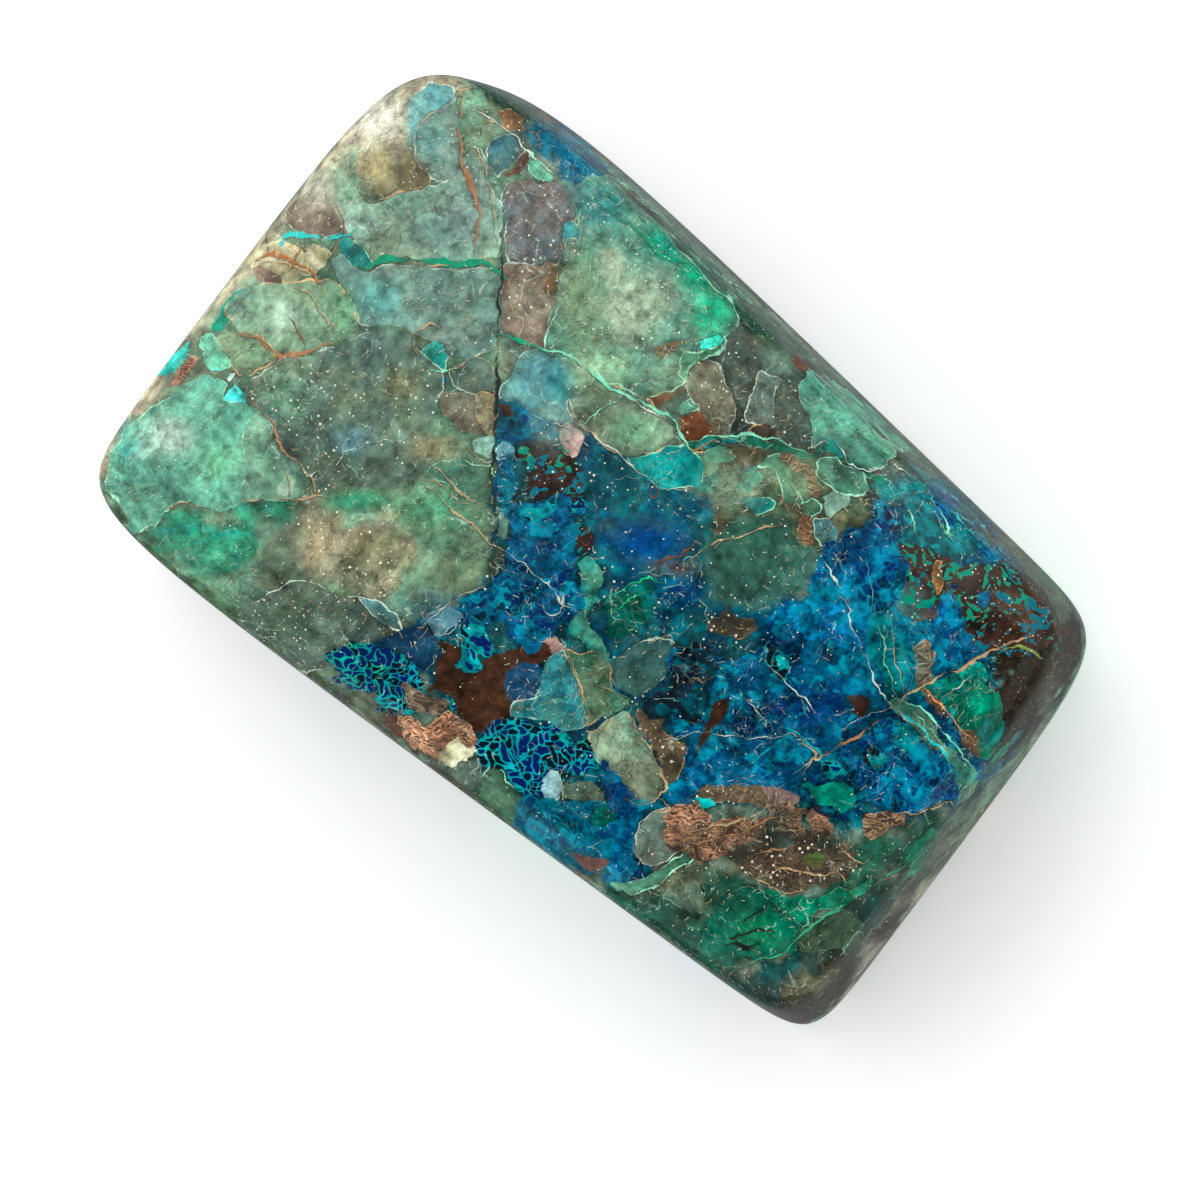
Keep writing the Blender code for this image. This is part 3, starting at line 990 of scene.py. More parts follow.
# A vein's colour, its width in mm, and its line in the photograph's pixels.
Vein = namedtuple("Vein", "tint width line")
COPPER = (152, 112, 84)
TAN = (176, 150, 116)
WHITE = (196, 210, 196)
MINT = (128, 208, 172)
GREEN = (16, 138, 102)
CYAN = (40, 190, 190)
DARK = (24, 36, 32)
VEINS = {
    "main copper": Vein(
        COPPER,
        0.38,
        "462,96 460,115 458,132 462,150 464,166 470,182 476,195 480,212 478,228 477,243",
    ),
    "second copper": Vein(TAN, 0.14, "472,136 480,155 486,172 490,190 492,208 495,225 497,243"),
    "top tan": Vein(TAN, 0.13, "470,85 460,92 447,105 430,116 418,128 410,137 398,140 380,142"),
    "copper twig": Vein(TAN, 0.16, "458,92 466,88 472,84"),
    "crown arc": Vein(
        WHITE,
        0.12,
        "462,106 480,113 500,127 515,136 525,148 545,164 557,178 566,188 573,202 578,216",
    ),
    "crown arc low": Vein(WHITE, 0.08, "577,262 562,272 560,300 553,322 546,345"),
    "knot foot": Vein(TAN, 0.18, "356,182 364,197 374,202 388,197 405,192 425,186"),
    "knot copper": Vein(
        COPPER,
        0.18,
        "355,197 349,205 344,216 341,226 345,234 337,243 333,252 328,262",
    ),
    "crown tan": Vein(TAN, 0.11, "418,148 428,152 445,150 432,155 420,156"),
    "upper emerald": Vein(
        GREEN,
        0.56,
        "365,268 374,261 388,257 402,258 420,261 445,261 462,263 478,261 490,268 501,275",
    ),
    "upper gold": Vein(TAN, 0.14, "398,265 412,268 425,267 440,265 450,263"),
    "seam": Vein(DARK, 0.20, "502,235 503,262 499,290 498,335 497,400 495,440 493,470 494,512"),
    "seam light": Vein(WHITE, 0.08, "500,278 499,300 498,330"),
    "jade foot dark": Vein(GREEN, 0.40, "498,333 512,337 526,345 540,350"),
    "jade foot": Vein(MINT, 0.26, "535,348 555,353 575,360 590,370 605,382 622,392 640,400"),
    "jade foot white": Vein(WHITE, 0.18, "575,360 588,371 600,379 615,389 634,398 650,410 662,416"),
    "jade foot mint": Vein(MINT, 0.34, "640,400 655,408 668,414 676,424 682,436 690,446"),
    "shield rim": Vein(
        WHITE,
        0.12,
        "573,418 582,426 596,434 610,447 625,459 640,472 655,484 672,490 690,488",
    ),
    "shield crack": Vein(MINT, 0.10, "577,425 592,418 605,408 622,400"),
    "sky rim": Vein(WHITE, 0.09, "498,398 515,404 530,412 545,421 560,427 575,424"),
    "lens crack": Vein(TAN, 0.13, "292,284 305,290 314,299 322,312 328,325 338,340"),
    "lens crack b": Vein((120, 84, 60), 0.14, "290,320 298,332 303,342"),
    "lens foot": Vein(
        COPPER,
        0.24,
        "240,334 250,333 262,342 272,350 280,360 292,358 305,353 320,346 330,343",
    ),
    "lens top": Vein(TAN, 0.16, "262,262 275,258 290,262 300,270 315,276 322,283"),
    "net copper a": Vein(
        (150, 96, 62),
        0.26,
        "255,262 262,255 275,252 285,258 300,262 310,270 318,282",
    ),
    "net copper b": Vein((150, 96, 62), 0.20, "282,280 290,268 296,255 302,245"),
    "net copper c": Vein(COPPER, 0.13, "300,240 310,250 322,258 330,262"),
    "net dark": Vein((60, 44, 40), 0.20, "262,240 268,246 262,256 252,266"),
    "left copper": Vein(COPPER, 0.27, "248,400 262,411 272,424 278,438 284,450 292,458"),
    "left copper foot": Vein(TAN, 0.13, "292,458 304,464 310,478 314,492 322,498"),
    "branch a": Vein(TAN, 0.10, "325,498 333,485 345,478"),
    "branch b": Vein(TAN, 0.10, "284,465 288,480 292,498"),
    "left tan a": Vein(TAN, 0.11, "165,511 175,505 188,503 198,508"),
    "left tan b": Vein(TAN, 0.14, "225,503 250,500 280,497 298,499 315,496 332,500 345,494"),
    "lobe white": Vein(WHITE, 0.11, "160,432 165,424 174,420 178,414"),
    "lobe white b": Vein(WHITE, 0.08, "128,448 140,440 150,428 158,420"),
    "bay rim": Vein(TAN, 0.10, "445,372 458,370 468,360 480,357 490,364 497,378"),
    "bay mint": Vein(MINT, 0.12, "420,362 430,369 442,372 455,370"),
    "bay copper": Vein(COPPER, 0.19, "456,440 464,446 474,455"),
    "bay white": Vein(WHITE, 0.08, "474,455 486,463 497,458"),
    "tan curve a": Vein(TAN, 0.16, "430,465 448,480 466,496 480,508 494,518"),
    "tan curve b": Vein(TAN, 0.13, "414,478 432,494 452,510 470,524 486,540 503,549"),
    "tan curve c": Vein(TAN, 0.08, "398,464 418,478 440,486 458,500 478,506"),
    "twig copper": Vein(COPPER, 0.18, "410,336 414,345 418,356"),
    "twig copper b": Vein(TAN, 0.11, "412,336 420,326 432,322 440,326"),
    "ribbon line": Vein(
        MINT,
        0.16,
        "684,443 698,441 704,436 722,437 746,432 757,438 776,437 786,445 798,451 810,454",
    ),
    "drop rim": Vein(WHITE, 0.14, "834,440 842,450 848,461 858,471 868,474 880,468"),
    "lens rim": Vein(WHITE, 0.09, "770,416 774,428 780,438 788,447"),
    "ridge copper": Vein(COPPER, 0.19, "686,442 694,450 702,446 712,441 726,446 738,448"),
    "ridge copper b": Vein(COPPER, 0.16, "724,450 735,458 745,468 740,480"),
    "ridge gold": Vein(TAN, 0.14, "784,466 790,480 796,495 792,508 800,515 812,517"),
    "ridge white": Vein(WHITE, 0.11, "893,462 902,470 910,478"),
    "tan bow": Vein(TAN, 0.13, "684,562 700,552 718,542 740,535 765,530 790,522"),
    "brown bow": Vein((110, 78, 50), 0.20, "640,566 660,562 675,556 690,546 702,536"),
    "fan a": Vein(
        WHITE,
        0.14,
        "840,598 848,610 853,628 860,645 868,664 878,688 890,704 902,716 922,732 942,748 958,768",
    ),
    "fan a upper": Vein(WHITE, 0.11, "822,560 830,572 838,580 842,590"),
    "fan b": Vein(TAN, 0.22, "1030,636 1010,643 990,652 970,664 945,676 920,688 900,700"),
    "fan b copper": Vein(COPPER, 0.24, "900,714 882,721 866,730 850,739 836,749 818,758"),
    "fan c": Vein(WHITE, 0.11, "900,702 880,712 860,720 842,730"),
    "fan d": Vein(CYAN, 0.20, "895,705 905,716 918,727 930,738 945,755 958,772 966,786"),
    "fan e": Vein(MINT, 0.16, "900,700 915,706 930,718 945,733 960,750 974,768"),
    "fan f": Vein(WHITE, 0.08, "940,700 952,690 962,680 972,674"),
    "fan g": Vein(TAN, 0.11, "905,698 902,680 896,662 892,640 890,622"),
    "fan h": Vein(MINT, 0.10, "868,560 873,590 876,620 884,650 890,680 896,700"),
    "copper root": Vein((226, 160, 110), 0.16, "922,686 934,700 950,714 962,728 974,744"),
    "net line a": Vein(MINT, 0.14, "905,500 912,518 918,536 926,554"),
    "net line b": Vein(MINT, 0.16, "928,495 942,515 952,538 964,562"),
    "net line c": Vein(CYAN, 0.20, "925,489 950,502 972,524 988,545 1004,556"),
    "net line d": Vein(CYAN, 0.12, "956,520 958,540 972,548 984,545"),
    "east line": Vein((120, 140, 80), 0.20, "1000,650 1020,648 1040,655 1055,668"),
    "east orange": Vein((150, 80, 40), 0.24, "1062,622 1070,635 1072,650"),
    "fine a": Vein(WHITE, 0.12, "772,670 784,682 796,692 808,702 820,714"),
    "fine b": Vein(WHITE, 0.11, "660,738 680,735 705,732 725,735 745,738 768,738 795,733"),
    "fine c": Vein(WHITE, 0.08, "745,700 755,710 772,726"),
    "fine d": Vein(CYAN, 0.12, "775,720 795,734 812,746 822,758"),
    "fine e": Vein(TAN, 0.11, "790,735 806,744 818,756 806,768 798,785"),
    "fine f": Vein(CYAN, 0.10, "745,768 762,756 778,746"),
    "strip white": Vein(WHITE, 0.11, "505,550 518,562 534,574 552,592 568,606 584,616"),
    "mid white": Vein(WHITE, 0.09, "420,628 436,614 452,600 470,592 486,584"),
    "mid white b": Vein(WHITE, 0.09, "436,640 452,630 466,618"),
    "brown ring": Vein((120, 70, 56), 0.16, "652,490 656,486 660,490 659,497 654,498 652,492"),
    "ribbon rim": Vein(TAN, 0.13, "566,652 574,668 582,690 588,708 590,726"),
    "ribbon tan": Vein(TAN, 0.11, "600,686 612,690 622,696 633,703"),
    "dark seam": Vein(DARK, 0.16, "588,731 600,722 616,714 630,706 642,698"),
    "tongue rim": Vein(
        TAN,
        0.16,
        "632,718 642,735 653,755 661,772 665,790 656,801 641,804 630,799",
    ),
    "tongue copper": Vein(COPPER, 0.18, "606,700 610,715 604,730 596,745"),
    "tongue streak a": Vein(TAN, 0.08, "604,768 612,752 622,738"),
    "tongue streak b": Vein(TAN, 0.08, "612,776 622,758 634,742"),
    "tongue streak c": Vein(TAN, 0.06, "622,782 632,766 640,752"),
    "block rim": Vein(WHITE, 0.14, "668,808 652,813 638,822 635,834 636,846"),
    "foot copper": Vein(TAN, 0.16, "660,800 672,808 664,812 655,812"),
    "lower mint": Vein(
        (70, 156, 122),
        0.20,
        "734,968 755,960 781,954 800,935 820,918 842,908 862,894 882,880 902,866 920,850 936,840",
    ),
    "east rim": Vein(TAN, 0.14, "896,811 912,816 932,809 952,800 968,792 978,782"),
    "squiggle a": Vein(DARK, 0.28, "726,936 738,938 748,932 760,930 772,932"),
    "squiggle b": Vein(DARK, 0.24, "722,948 734,944 746,948 756,943"),
    "squiggle c": Vein(DARK, 0.22, "744,920 754,914 764,908 768,902"),
    "squiggle d": Vein(DARK, 0.20, "700,882 706,888 709,898 707,906"),
    "squiggle e": Vein(DARK, 0.20, "738,958 746,954 752,958"),
    "dust line": Vein(TAN, 0.13, "836,852 846,850 852,858 862,862 870,858"),
    "dust line b": Vein(TAN, 0.10, "828,860 838,874 846,886"),
    "dust edge": Vein(TAN, 0.13, "742,866 758,880 774,887 790,894 810,890"),
    "wing scratch": Vein(WHITE, 0.12, "548,718 560,712 572,716 584,706 582,722"),
    "jade ridge": Vein(GREEN, 0.30, "600,206 618,216 634,228 650,244 662,256 682,260 700,266"),
    "mirror line a": Vein((60, 184, 128), 0.14, "604,604 618,590 634,582 650,578 662,582"),
    "mirror line b": Vein((50, 160, 112), 0.12, "610,614 624,601 640,592 654,590"),
    "cyan arc": Vein(
        (64, 184, 176),
        0.46,
        "282,244 288,235 300,232 313,236 326,240 338,238 350,232",
    ),
    "jade rim": Vein(
        (150, 212, 180),
        0.14,
        "600,160 620,176 640,196 660,218 680,244 695,262 712,280 728,296 735,312 736,322",
    ),
    "wood line a": Vein(COPPER, 0.20, "690,846 712,840 736,834 756,826 776,818 792,812"),
    "wood line b": Vein(TAN, 0.16, "686,832 708,826 730,822 752,816 770,808"),
    "wood line c": Vein(COPPER, 0.18, "752,856 772,848 796,846 820,850 842,846"),
    "wood line d": Vein(TAN, 0.14, "756,878 776,870 800,872 824,876 846,872"),
    "fan j": Vein(MINT, 0.09, "905,704 922,722 938,738 950,756 966,784"),
    "fan k": Vein(WHITE, 0.08, "845,745 830,752 812,762 792,774 776,788"),
    "net line e": Vein(MINT, 0.10, "930,512 944,528 962,544 980,559 1000,560"),
    "crack copper": Vein(COPPER, 0.16, "528,132 536,130 542,136 548,140 532,138"),
}


# Soft washes over the rock: colour, strength, then middle and half sizes in pixels. Most are the
# rock's own tone; the pale ones on the west shoulder are painted highlights and reflection, the
# dark ones at the east and lower rims are painted shade, and the pale blooms in the glassy clasts
# are partly their milky tone and partly painted glow.
Wash = namedtuple("Wash", "tint strength x y half_width half_height")
WASHES = {
    # Painted highlights: pale glows where the west shoulder, its corner and the west end face the
    # light
    "corner painted highlight": Wash((224, 220, 204), 0.85, 378, 122, 24, 20),
    "edge painted highlight": Wash((196, 196, 176), 0.60, 318, 190, 22, 20),
    "west painted highlight": Wash((205, 222, 204), 0.65, 168, 436, 24, 18),
    "lobe green": Wash((96, 160, 120), 0.65, 222, 462, 22, 20),
    "lobe rim": Wash((60, 150, 140), 0.75, 128, 450, 12, 26),
    "lens bloom": Wash((170, 196, 176), 0.70, 282, 315, 18, 18),
    "lens green": Wash((110, 166, 120), 0.65, 342, 315, 14, 26),
    "jade light": Wash((150, 184, 166), 0.70, 362, 222, 18, 20),
    "jade dusk": Wash((84, 110, 106), 0.75, 446, 228, 46, 28),
    "mid teal": Wash((70, 146, 138), 0.55, 378, 300, 24, 18),
    "mid dusk": Wash((96, 120, 104), 0.55, 470, 310, 24, 26),
    "slate dusk": Wash((70, 94, 88), 0.75, 366, 352, 40, 20),
    "slate green": Wash((98, 140, 116), 0.65, 285, 400, 26, 26),
    "slate olive": Wash((110, 108, 72), 0.75, 402, 385, 18, 16),
    "slate blue": Wash((96, 140, 148), 0.65, 350, 440, 20, 12),
    "crown teal": Wash((80, 140, 136), 0.55, 430, 140, 18, 20),
    "column dusk": Wash((84, 84, 78), 0.55, 530, 215, 20, 24),
    "dun bloom": Wash((156, 150, 130), 0.60, 520, 300, 16, 20),
    "jade lake": Wash((36, 112, 112), 0.90, 602, 206, 28, 26),
    "jade crest": Wash((10, 136, 112), 0.85, 664, 244, 24, 20),
    "jade crest low": Wash((40, 184, 138), 0.85, 712, 312, 20, 24),
    # Partly the jade's milky tone and partly painted glow for its depth
    "jade bloom": Wash((176, 190, 160), 0.70, 632, 306, 32, 34),
    "jade west": Wash((112, 138, 104), 0.75, 582, 305, 24, 54),
    "shield bloom": Wash((120, 176, 140), 0.65, 638, 428, 26, 18),
    "sky teal": Wash((50, 140, 140), 0.65, 560, 385, 16, 22),
    "foot glow": Wash((128, 124, 92), 0.65, 372, 545, 26, 20),
    "pool indigo": Wash((18, 56, 114), 0.85, 646, 543, 40, 22),
    "pool green": Wash((50, 88, 74), 0.50, 760, 560, 44, 30),
    "azure glow": Wash((10, 116, 150), 0.55, 800, 615, 36, 18),
    "east ember": Wash((84, 60, 40), 0.65, 1030, 600, 24, 24),
    "tongue light": Wash((150, 172, 146), 0.45, 620, 745, 10, 18),
    "low dusk": Wash((66, 90, 72), 0.75, 262, 628, 74, 28),
    "knot gold": Wash((170, 158, 112), 0.70, 376, 166, 18, 15),
    "knot brown": Wash((98, 82, 60), 0.60, 414, 172, 14, 16),
    # Partly the jade's milky tone and partly painted glow for its depth
    "jade glow": Wash((196, 198, 168), 0.50, 612, 264, 14, 18),
    "jade crest mid": Wash((14, 152, 112), 0.85, 694, 276, 18, 18),
    "field green": Wash((70, 136, 104), 0.75, 430, 510, 40, 20),
    "field cream": Wash((138, 138, 108), 0.55, 402, 560, 26, 20),
    "small green": Wash((70, 134, 104), 0.65, 352, 504, 30, 11),
    "low lake": Wash((44, 90, 104), 0.65, 432, 606, 34, 16),
    "clutter light": Wash((150, 134, 102), 0.55, 434, 448, 26, 14),
    "pool teal": Wash((24, 74, 84), 0.75, 612, 482, 24, 30),
    "pool indigo low": Wash((26, 60, 108), 0.70, 678, 592, 24, 18),
    "pool rust": Wash((86, 62, 56), 0.60, 676, 568, 28, 7),
    "ridge dusk": Wash((46, 84, 68), 0.60, 745, 535, 36, 22),
    "sand light": Wash((164, 154, 122), 0.60, 322, 538, 20, 26),
    "sand dark": Wash((104, 104, 84), 0.50, 384, 560, 20, 18),
    "left glow": Wash((40, 150, 112), 0.60, 222, 540, 30, 14),
    "strip glow": Wash((30, 134, 100), 0.60, 362, 500, 36, 8),
    "low wood": Wash((112, 88, 70), 0.50, 790, 868, 46, 12),
    "low wood dark": Wash((34, 44, 42), 0.60, 800, 838, 40, 8),
    # Painted reflection: the pale haze of the light over the west shoulder, in the haze tint
    "west painted reflection": Wash((190, 180, 150), 0.60, 250, 250, 26, 30),
    "slate mist": Wash((100, 120, 118), 0.60, 470, 200, 24, 34),
    "tongue foot": Wash((116, 122, 104), 0.60, 642, 778, 16, 20),
    "lobe east": Wash((118, 156, 134), 0.50, 250, 470, 26, 28),
    # Painted shade: darker at the east and lower rims, where the stone turns away from the light
    "east rim": Wash((34, 28, 24), 0.65, 1078, 660, 26, 70),
    "low rim shade": Wash((44, 48, 38), 0.55, 900, 985, 60, 30),
    "ridge mint": Wash((150, 182, 154), 0.50, 735, 486, 30, 26),
    "ridge cream": Wash((146, 180, 142), 0.40, 796, 476, 30, 22),
    "seam mint": Wash((176, 222, 176), 0.48, 604, 368, 30, 22),
    "sky light": Wash((144, 182, 170), 0.42, 556, 425, 24, 24),
    "jade foot light": Wash((150, 190, 154), 0.38, 668, 374, 24, 20),
    "east teal": Wash((70, 172, 160), 0.42, 912, 664, 20, 30),
    "east mist": Wash((96, 156, 158), 0.32, 905, 606, 22, 22),
    "north teal": Wash((18, 132, 138), 0.55, 908, 490, 24, 18),
    "azure mist": Wash((64, 132, 150), 0.32, 850, 668, 24, 22),
    "meadow light": Wash((44, 138, 94), 0.55, 760, 930, 26, 16),
}


# The skin of the stone

EXPONENT_LIMIT = 60.0  # keeps the smooth sum within a float's range
CUBE_SIZE = 2.0


def normal_of(face):
    """The direction in which a face looks out."""
    bearing, lean = math.radians(face.bearing), math.radians(face.lean)
    level = math.cos(lean)
    return np.array([math.cos(bearing) * level, math.sin(bearing) * level, math.sin(lean)])


def outside(points):
    """True for the points that lie outside the stone, measured from the slab's middle."""
    total = np.zeros(len(points))
    crown = (points[:, 0] ** 2 + points[:, 1] ** 2) / (2 * FRONT_DOME_RADIUS)
    for name, face in FACES.items():
        height = points @ normal_of(face) - face.reach
        if name == "front":
            height += crown
        total += np.exp(np.clip(height / face.softness, -EXPONENT_LIMIT, EXPONENT_LIMIT))
    return total > 1.0


def skin_points(directions):
    """The points where rays from the slab's middle leave the stone."""
    near = np.zeros(len(directions))
    far = np.full(len(directions), FARTHEST)
    for _ in range(RADIAL_STEPS):
        middle = (near + far) / 2
        out = outside(directions * middle[:, None])
        far = np.where(out, middle, far)
        near = np.where(out, near, middle)
    return directions * near[:, None]


def cut_cube():
    """A cube with loop cuts along each axis, twice as fine on its front."""
    box = bmesh.new()
    bmesh.ops.create_cube(box, size=CUBE_SIZE)
    for axis, cuts in enumerate(LOOP_CUTS):
        along = [
            edge
            for edge in box.edges
            if abs(edge.verts[0].co[axis] - edge.verts[1].co[axis]) > CUBE_SIZE / 2
        ]
        bmesh.ops.subdivide_edges(box, edges=along, cuts=cuts, use_grid_fill=True)
    top = CUBE_SIZE * 0.499
    front = [edge for edge in box.edges if min(vertex.co.z for vertex in edge.verts) > top]
    bmesh.ops.subdivide_edges(box, edges=front, cuts=1, use_grid_fill=True)
    bmesh.ops.recalc_face_normals(box, faces=box.faces)
    return box


def rows_of(vertices, name):
    """A value of every vertex, three numbers to a row."""
    values = np.empty(len(vertices) * 3)
    vertices.foreach_get(name, values)
    return values.reshape(-1, 3)


def crowded_directions(cube):
    """Directions through a cube's points, which crowd towards its edges."""
    quarter = CROWDING * math.pi / 2
    graded = np.sin(cube * quarter) / math.sin(quarter) * np.array(BOX_SIZE) / 2
    return graded / np.linalg.norm(graded, axis=1)[:, None]


def stone_mesh():
    """The stone's mesh, its points in the frame, and the slab's middle there."""
    mesh = bpy.data.meshes.new("polished_stone")
    box = cut_cube()
    box.to_mesh(mesh)
    box.free()
    points = skin_points(crowded_directions(rows_of(mesh.vertices, "co")))
    middle = (points[:, :2].min(axis=0) + points[:, :2].max(axis=0)) / 2
    rise = THICKNESS / 2 - BACK_LAP
    points[:, :2] -= middle
    points[:, 2] = np.maximum(points[:, 2] + rise, 0.0)
    mesh.vertices.foreach_set("co", points.ravel())
    mesh.update()
    mesh.shade_smooth()
    return mesh, points, Vector((-middle[0], -middle[1], rise))


# The photograph's view


class PhotoView:
    """The camera that took the photograph, in the stone's frame."""

    def __init__(self, slab_middle):
        across = Vector((math.cos(STONE_TURN), math.sin(STONE_TURN), 0.0))
        self.up = Vector((-math.sin(STONE_TURN), math.cos(STONE_TURN), 0.0))
        self.back = across * math.sin(CAMERA_TILT) + Vector((0, 0, math.cos(CAMERA_TILT)))
        self.right = self.up.cross(self.back)
        self.focal = PHOTO_SIZE * LENS / SENSOR
        aside = (PHOTO_SIZE / 2 - SLAB_MIDDLE_PIXEL[0]) * PIXEL
        below = (SLAB_MIDDLE_PIXEL[1] - PHOTO_SIZE / 2) * PIXEL
        aim = slab_middle + self.right * aside + self.up * below
        self.place = aim + self.back * self.focal * PIXEL

    def pixels(self, points):
        """Where points of the frame are in the photograph."""
        offsets = points - np.array(self.place)
        depth = -(offsets @ np.array(self.back))
        x = PHOTO_SIZE / 2 + self.focal * (offsets @ np.array(self.right)) / depth
        y = PHOTO_SIZE / 2 - self.focal * (offsets @ np.array(self.up)) / depth
        return np.stack([x, y], axis=1)


# Cloudy fields over the skin, mostly from -1 to 1

SEED_STEP = 37.0  # wave lengths between the clouds of one seed and the next
CLOUD_GAIN = 2.2
CLOUD_FALL = 0.8
CLOUD_LACUNARITY = 2.0

# A field's wave length in mm, its octaves and seed, and whether bent places carry it.
Cloud = namedtuple("Cloud", "length octaves seed bent")
CLOUDS = {
    "edge": Cloud(2.0, 4, 4, False),
    "breaks": Cloud(1.6, 3, 5, False),
    "slow": Cloud(7.0, 4, 6, False),
    "middle": Cloud(3.2, 4, 7, True),
    "quick": Cloud(1.1, 3, 8, False),
    "blotch": Cloud(1.1, 4, 9, True),
    "patch": Cloud(1.7, 4, 10, True),
    "island": Cloud(0.62, 3, 11, True),
    "curl": Cloud(2.0, 4, 12, True),
    "gate": Cloud(3.4, 3, 13, False),
}
Fields = namedtuple("Fields", list(CLOUDS))

# Cloudy offsets of places: their wave length in mm, octaves, a seed for each axis, and size.
Bend = namedtuple("Bend", "length octaves seeds amount")
FIELD_BEND = Bend(2.6, 3, (1, 2, 3), 0.7)
OUTLINE_DRIFT = Bend(14.0, 2, (21, 22), 1.0)
OUTLINE_RIPPLE = Bend(1.8, 3, (23, 24), 1.0)
PLACE_BEND = Bend(1.6, 3, (31, 32), 0.35)


def cloudy(places, length, octaves, seed):
    """A cloudy field over places in mm, of about that wave length."""
    moved = (places / length + SEED_STEP * seed).tolist()
    heights = [noise.fractal(place, CLOUD_FALL, CLOUD_LACUNARITY, octaves) for place in moved]
    return CLOUD_GAIN * np.array(heights)


def bends(places, bend):
    """The cloudy offsets of places in mm."""
    columns = [cloudy(places, bend.length, bend.octaves, seed) for seed in bend.seeds]
    return bend.amount * np.stack(columns, axis=1)


def rock_fields(in_mm):
    """The height of every kind of cloud at the skin's points."""
    bent = in_mm + bends(in_mm, FIELD_BEND)
    fields = [
        cloudy(bent if cloud.bent else in_mm, cloud.length, cloud.octaves, cloud.seed)
        for cloud in CLOUDS.values()
    ]
    return Fields(*fields)


# Outlines on the skin

ENDLESS = 1e9
TINY = 1e-9
CORNER_CUT = 0.14  # of a stretch between two points, at each of its ends

# How far outlines wander where the skin turns down from the display face, in pixels. RIM is
# how far below the top that starts, and RIPPLE_GROWS how far below the rim it goes on, in mm.
RIM = 2.0
RIPPLE_GROWS = 3.0
DRIFT_BY_DEPTH = 4.0
FRONT_RIPPLE = 1.6
RIPPLE_BY_DEPTH = 2.0
BACK_DRIFT = 38.0
BACK_RIPPLE = 5.0
BACK_SHARE = 0.5

# The two skins that carry outlines: where their places are in the photograph, how deep
# under the display face, or over the back, they lie, and how much of a clast reaches them.
Side = namedtuple("Side", "pixels depth share")


def rock_sides(in_mm, pixels):
    """The display face with the sides, and the back with the sides."""
    height = in_mm[:, 2]
    depth = height.max() - height
    drift = bends(in_mm, OUTLINE_DRIFT)
    ripple = bends(in_mm, OUTLINE_RIPPLE)
    deep = np.clip(depth - RIM, 0.0, None)[:, None]
    ripple_size = FRONT_RIPPLE + np.minimum(deep, RIPPLE_GROWS) * RIPPLE_BY_DEPTH
    front = pixels + drift * deep * DRIFT_BY_DEPTH + ripple * ripple_size
    turned = 2 * np.array(TURN_PIXEL) - pixels
    back = turned + drift * BACK_DRIFT + ripple * BACK_RIPPLE
    return Side(front, depth, 1.0), Side(back, height, BACK_SHARE)


def read_points(text):
    """The points of an outline or a line that is written as pairs."""
    return np.array([[float(number) for number in pair.split(",")] for pair in text.split()])


def rounded(points, closed):
    """Cuts the corners of a line or an outline a little."""
    ahead = np.roll(points, -1, axis=0)
    early = points * (1 - CORNER_CUT) + ahead * CORNER_CUT
    late = points * CORNER_CUT + ahead * (1 - CORNER_CUT)
    both = np.stack([early, late], axis=1).reshape(-1, 2)
    return both if closed else np.vstack([points[:1], both[1:-3], points[-1:]])


def near_box(where, outline, reach):
    """The numbers of the places within reach of an outline's box."""
    low, high = outline.min(axis=0) - reach, outline.max(axis=0) + reach
    return np.flatnonzero(((where > low) & (where < high)).all(axis=1))


def segment_offsets(where, start, end):
    """From each place: distance to a segment, side of it, and place along it (0 to 1)."""
    run = end - start
    offset = where - start
    along = np.clip(offset @ run / max(run @ run, TINY), 0.0, 1.0)
    distance = np.linalg.norm(offset - along[:, None] * run, axis=1)
    side = np.sign(run[0] * offset[:, 1] - run[1] * offset[:, 0])
    return distance, side, along


def inside_distance(where, outline):
    """How deep places are inside an outline: negative outside it."""
    nearest = np.full(len(where), ENDLESS)
    inside = np.zeros(len(where), bool)
    for start, end in zip(outline, np.roll(outline, -1, axis=0)):
        nearest = np.minimum(nearest, segment_offsets(where, start, end)[0])
        crosses = (start[1] > where[:, 1]) != (end[1] > where[:, 1])
        slope = (end[0] - start[0]) / ((end[1] - start[1]) or TINY)
        inside ^= crosses & (where[:, 0] < start[0] + (where[:, 1] - start[1]) * slope)
    return np.where(inside, nearest, -nearest)


# Clasts on the mesh. Lengths are in mm

REACH = 1.0  # outside an outline, within which distances are worked out
FAR = -3.0  # the depth in a clast of a place that it doesn't reach
MEETING = 0.3  # between clasts that may not share a layer
COVERED_PLACES = 12  # that a later clast has to share with an earlier one to cover it
CLAST_THICKNESS = (4.0, 15.0)
UNDERSIDE_WAVE = 1.5
EDGE_SHADOW = 0.55
EDGE_SHADOW_REACH = 0.25
RIM_BREAKS = (0.0, 1.2)  # times a rim's width, at its thinnest and its widest

# A clast's colour: how far clouds and chance mix its tints, and how its lightness wanders. Its edge
# gets painted light and shade, lighter or darker near the edge, for a look of depth.
TINT_CLOUDS = 0.6
TINT_CHANCE = 0.2
SLOW_LIGHT = 0.24
QUICK_LIGHT = 0.14
EDGE_PAINTED_LIGHT = (-0.45, 0.35)
EDGE_PAINTED_LIGHT_REACH = (0.3, 1.0)
TINT_SPREAD = (0.94, 1.06)
GROUND_SEED = 3

Laid = namedtuple("Laid", "mineral tint numbers depth")

# A layer of clasts: their colour with the depth inside their edge, and their rim's colour
# with its half width. The looks below them are their minerals' numbers, over all layers.
Layer = namedtuple("Layer", "tint rim")
Looks = namedtuple("Looks", "look kind")


def linear(tint):
    """A display colour, 0 to 255, as linear light."""
    channel = np.clip(np.array(tint, float) / 255.0, 0.0, 1.0)
    return np.where(channel > 0.04045, ((channel + 0.055) / 1.055) ** 2.4, channel / 12.92)


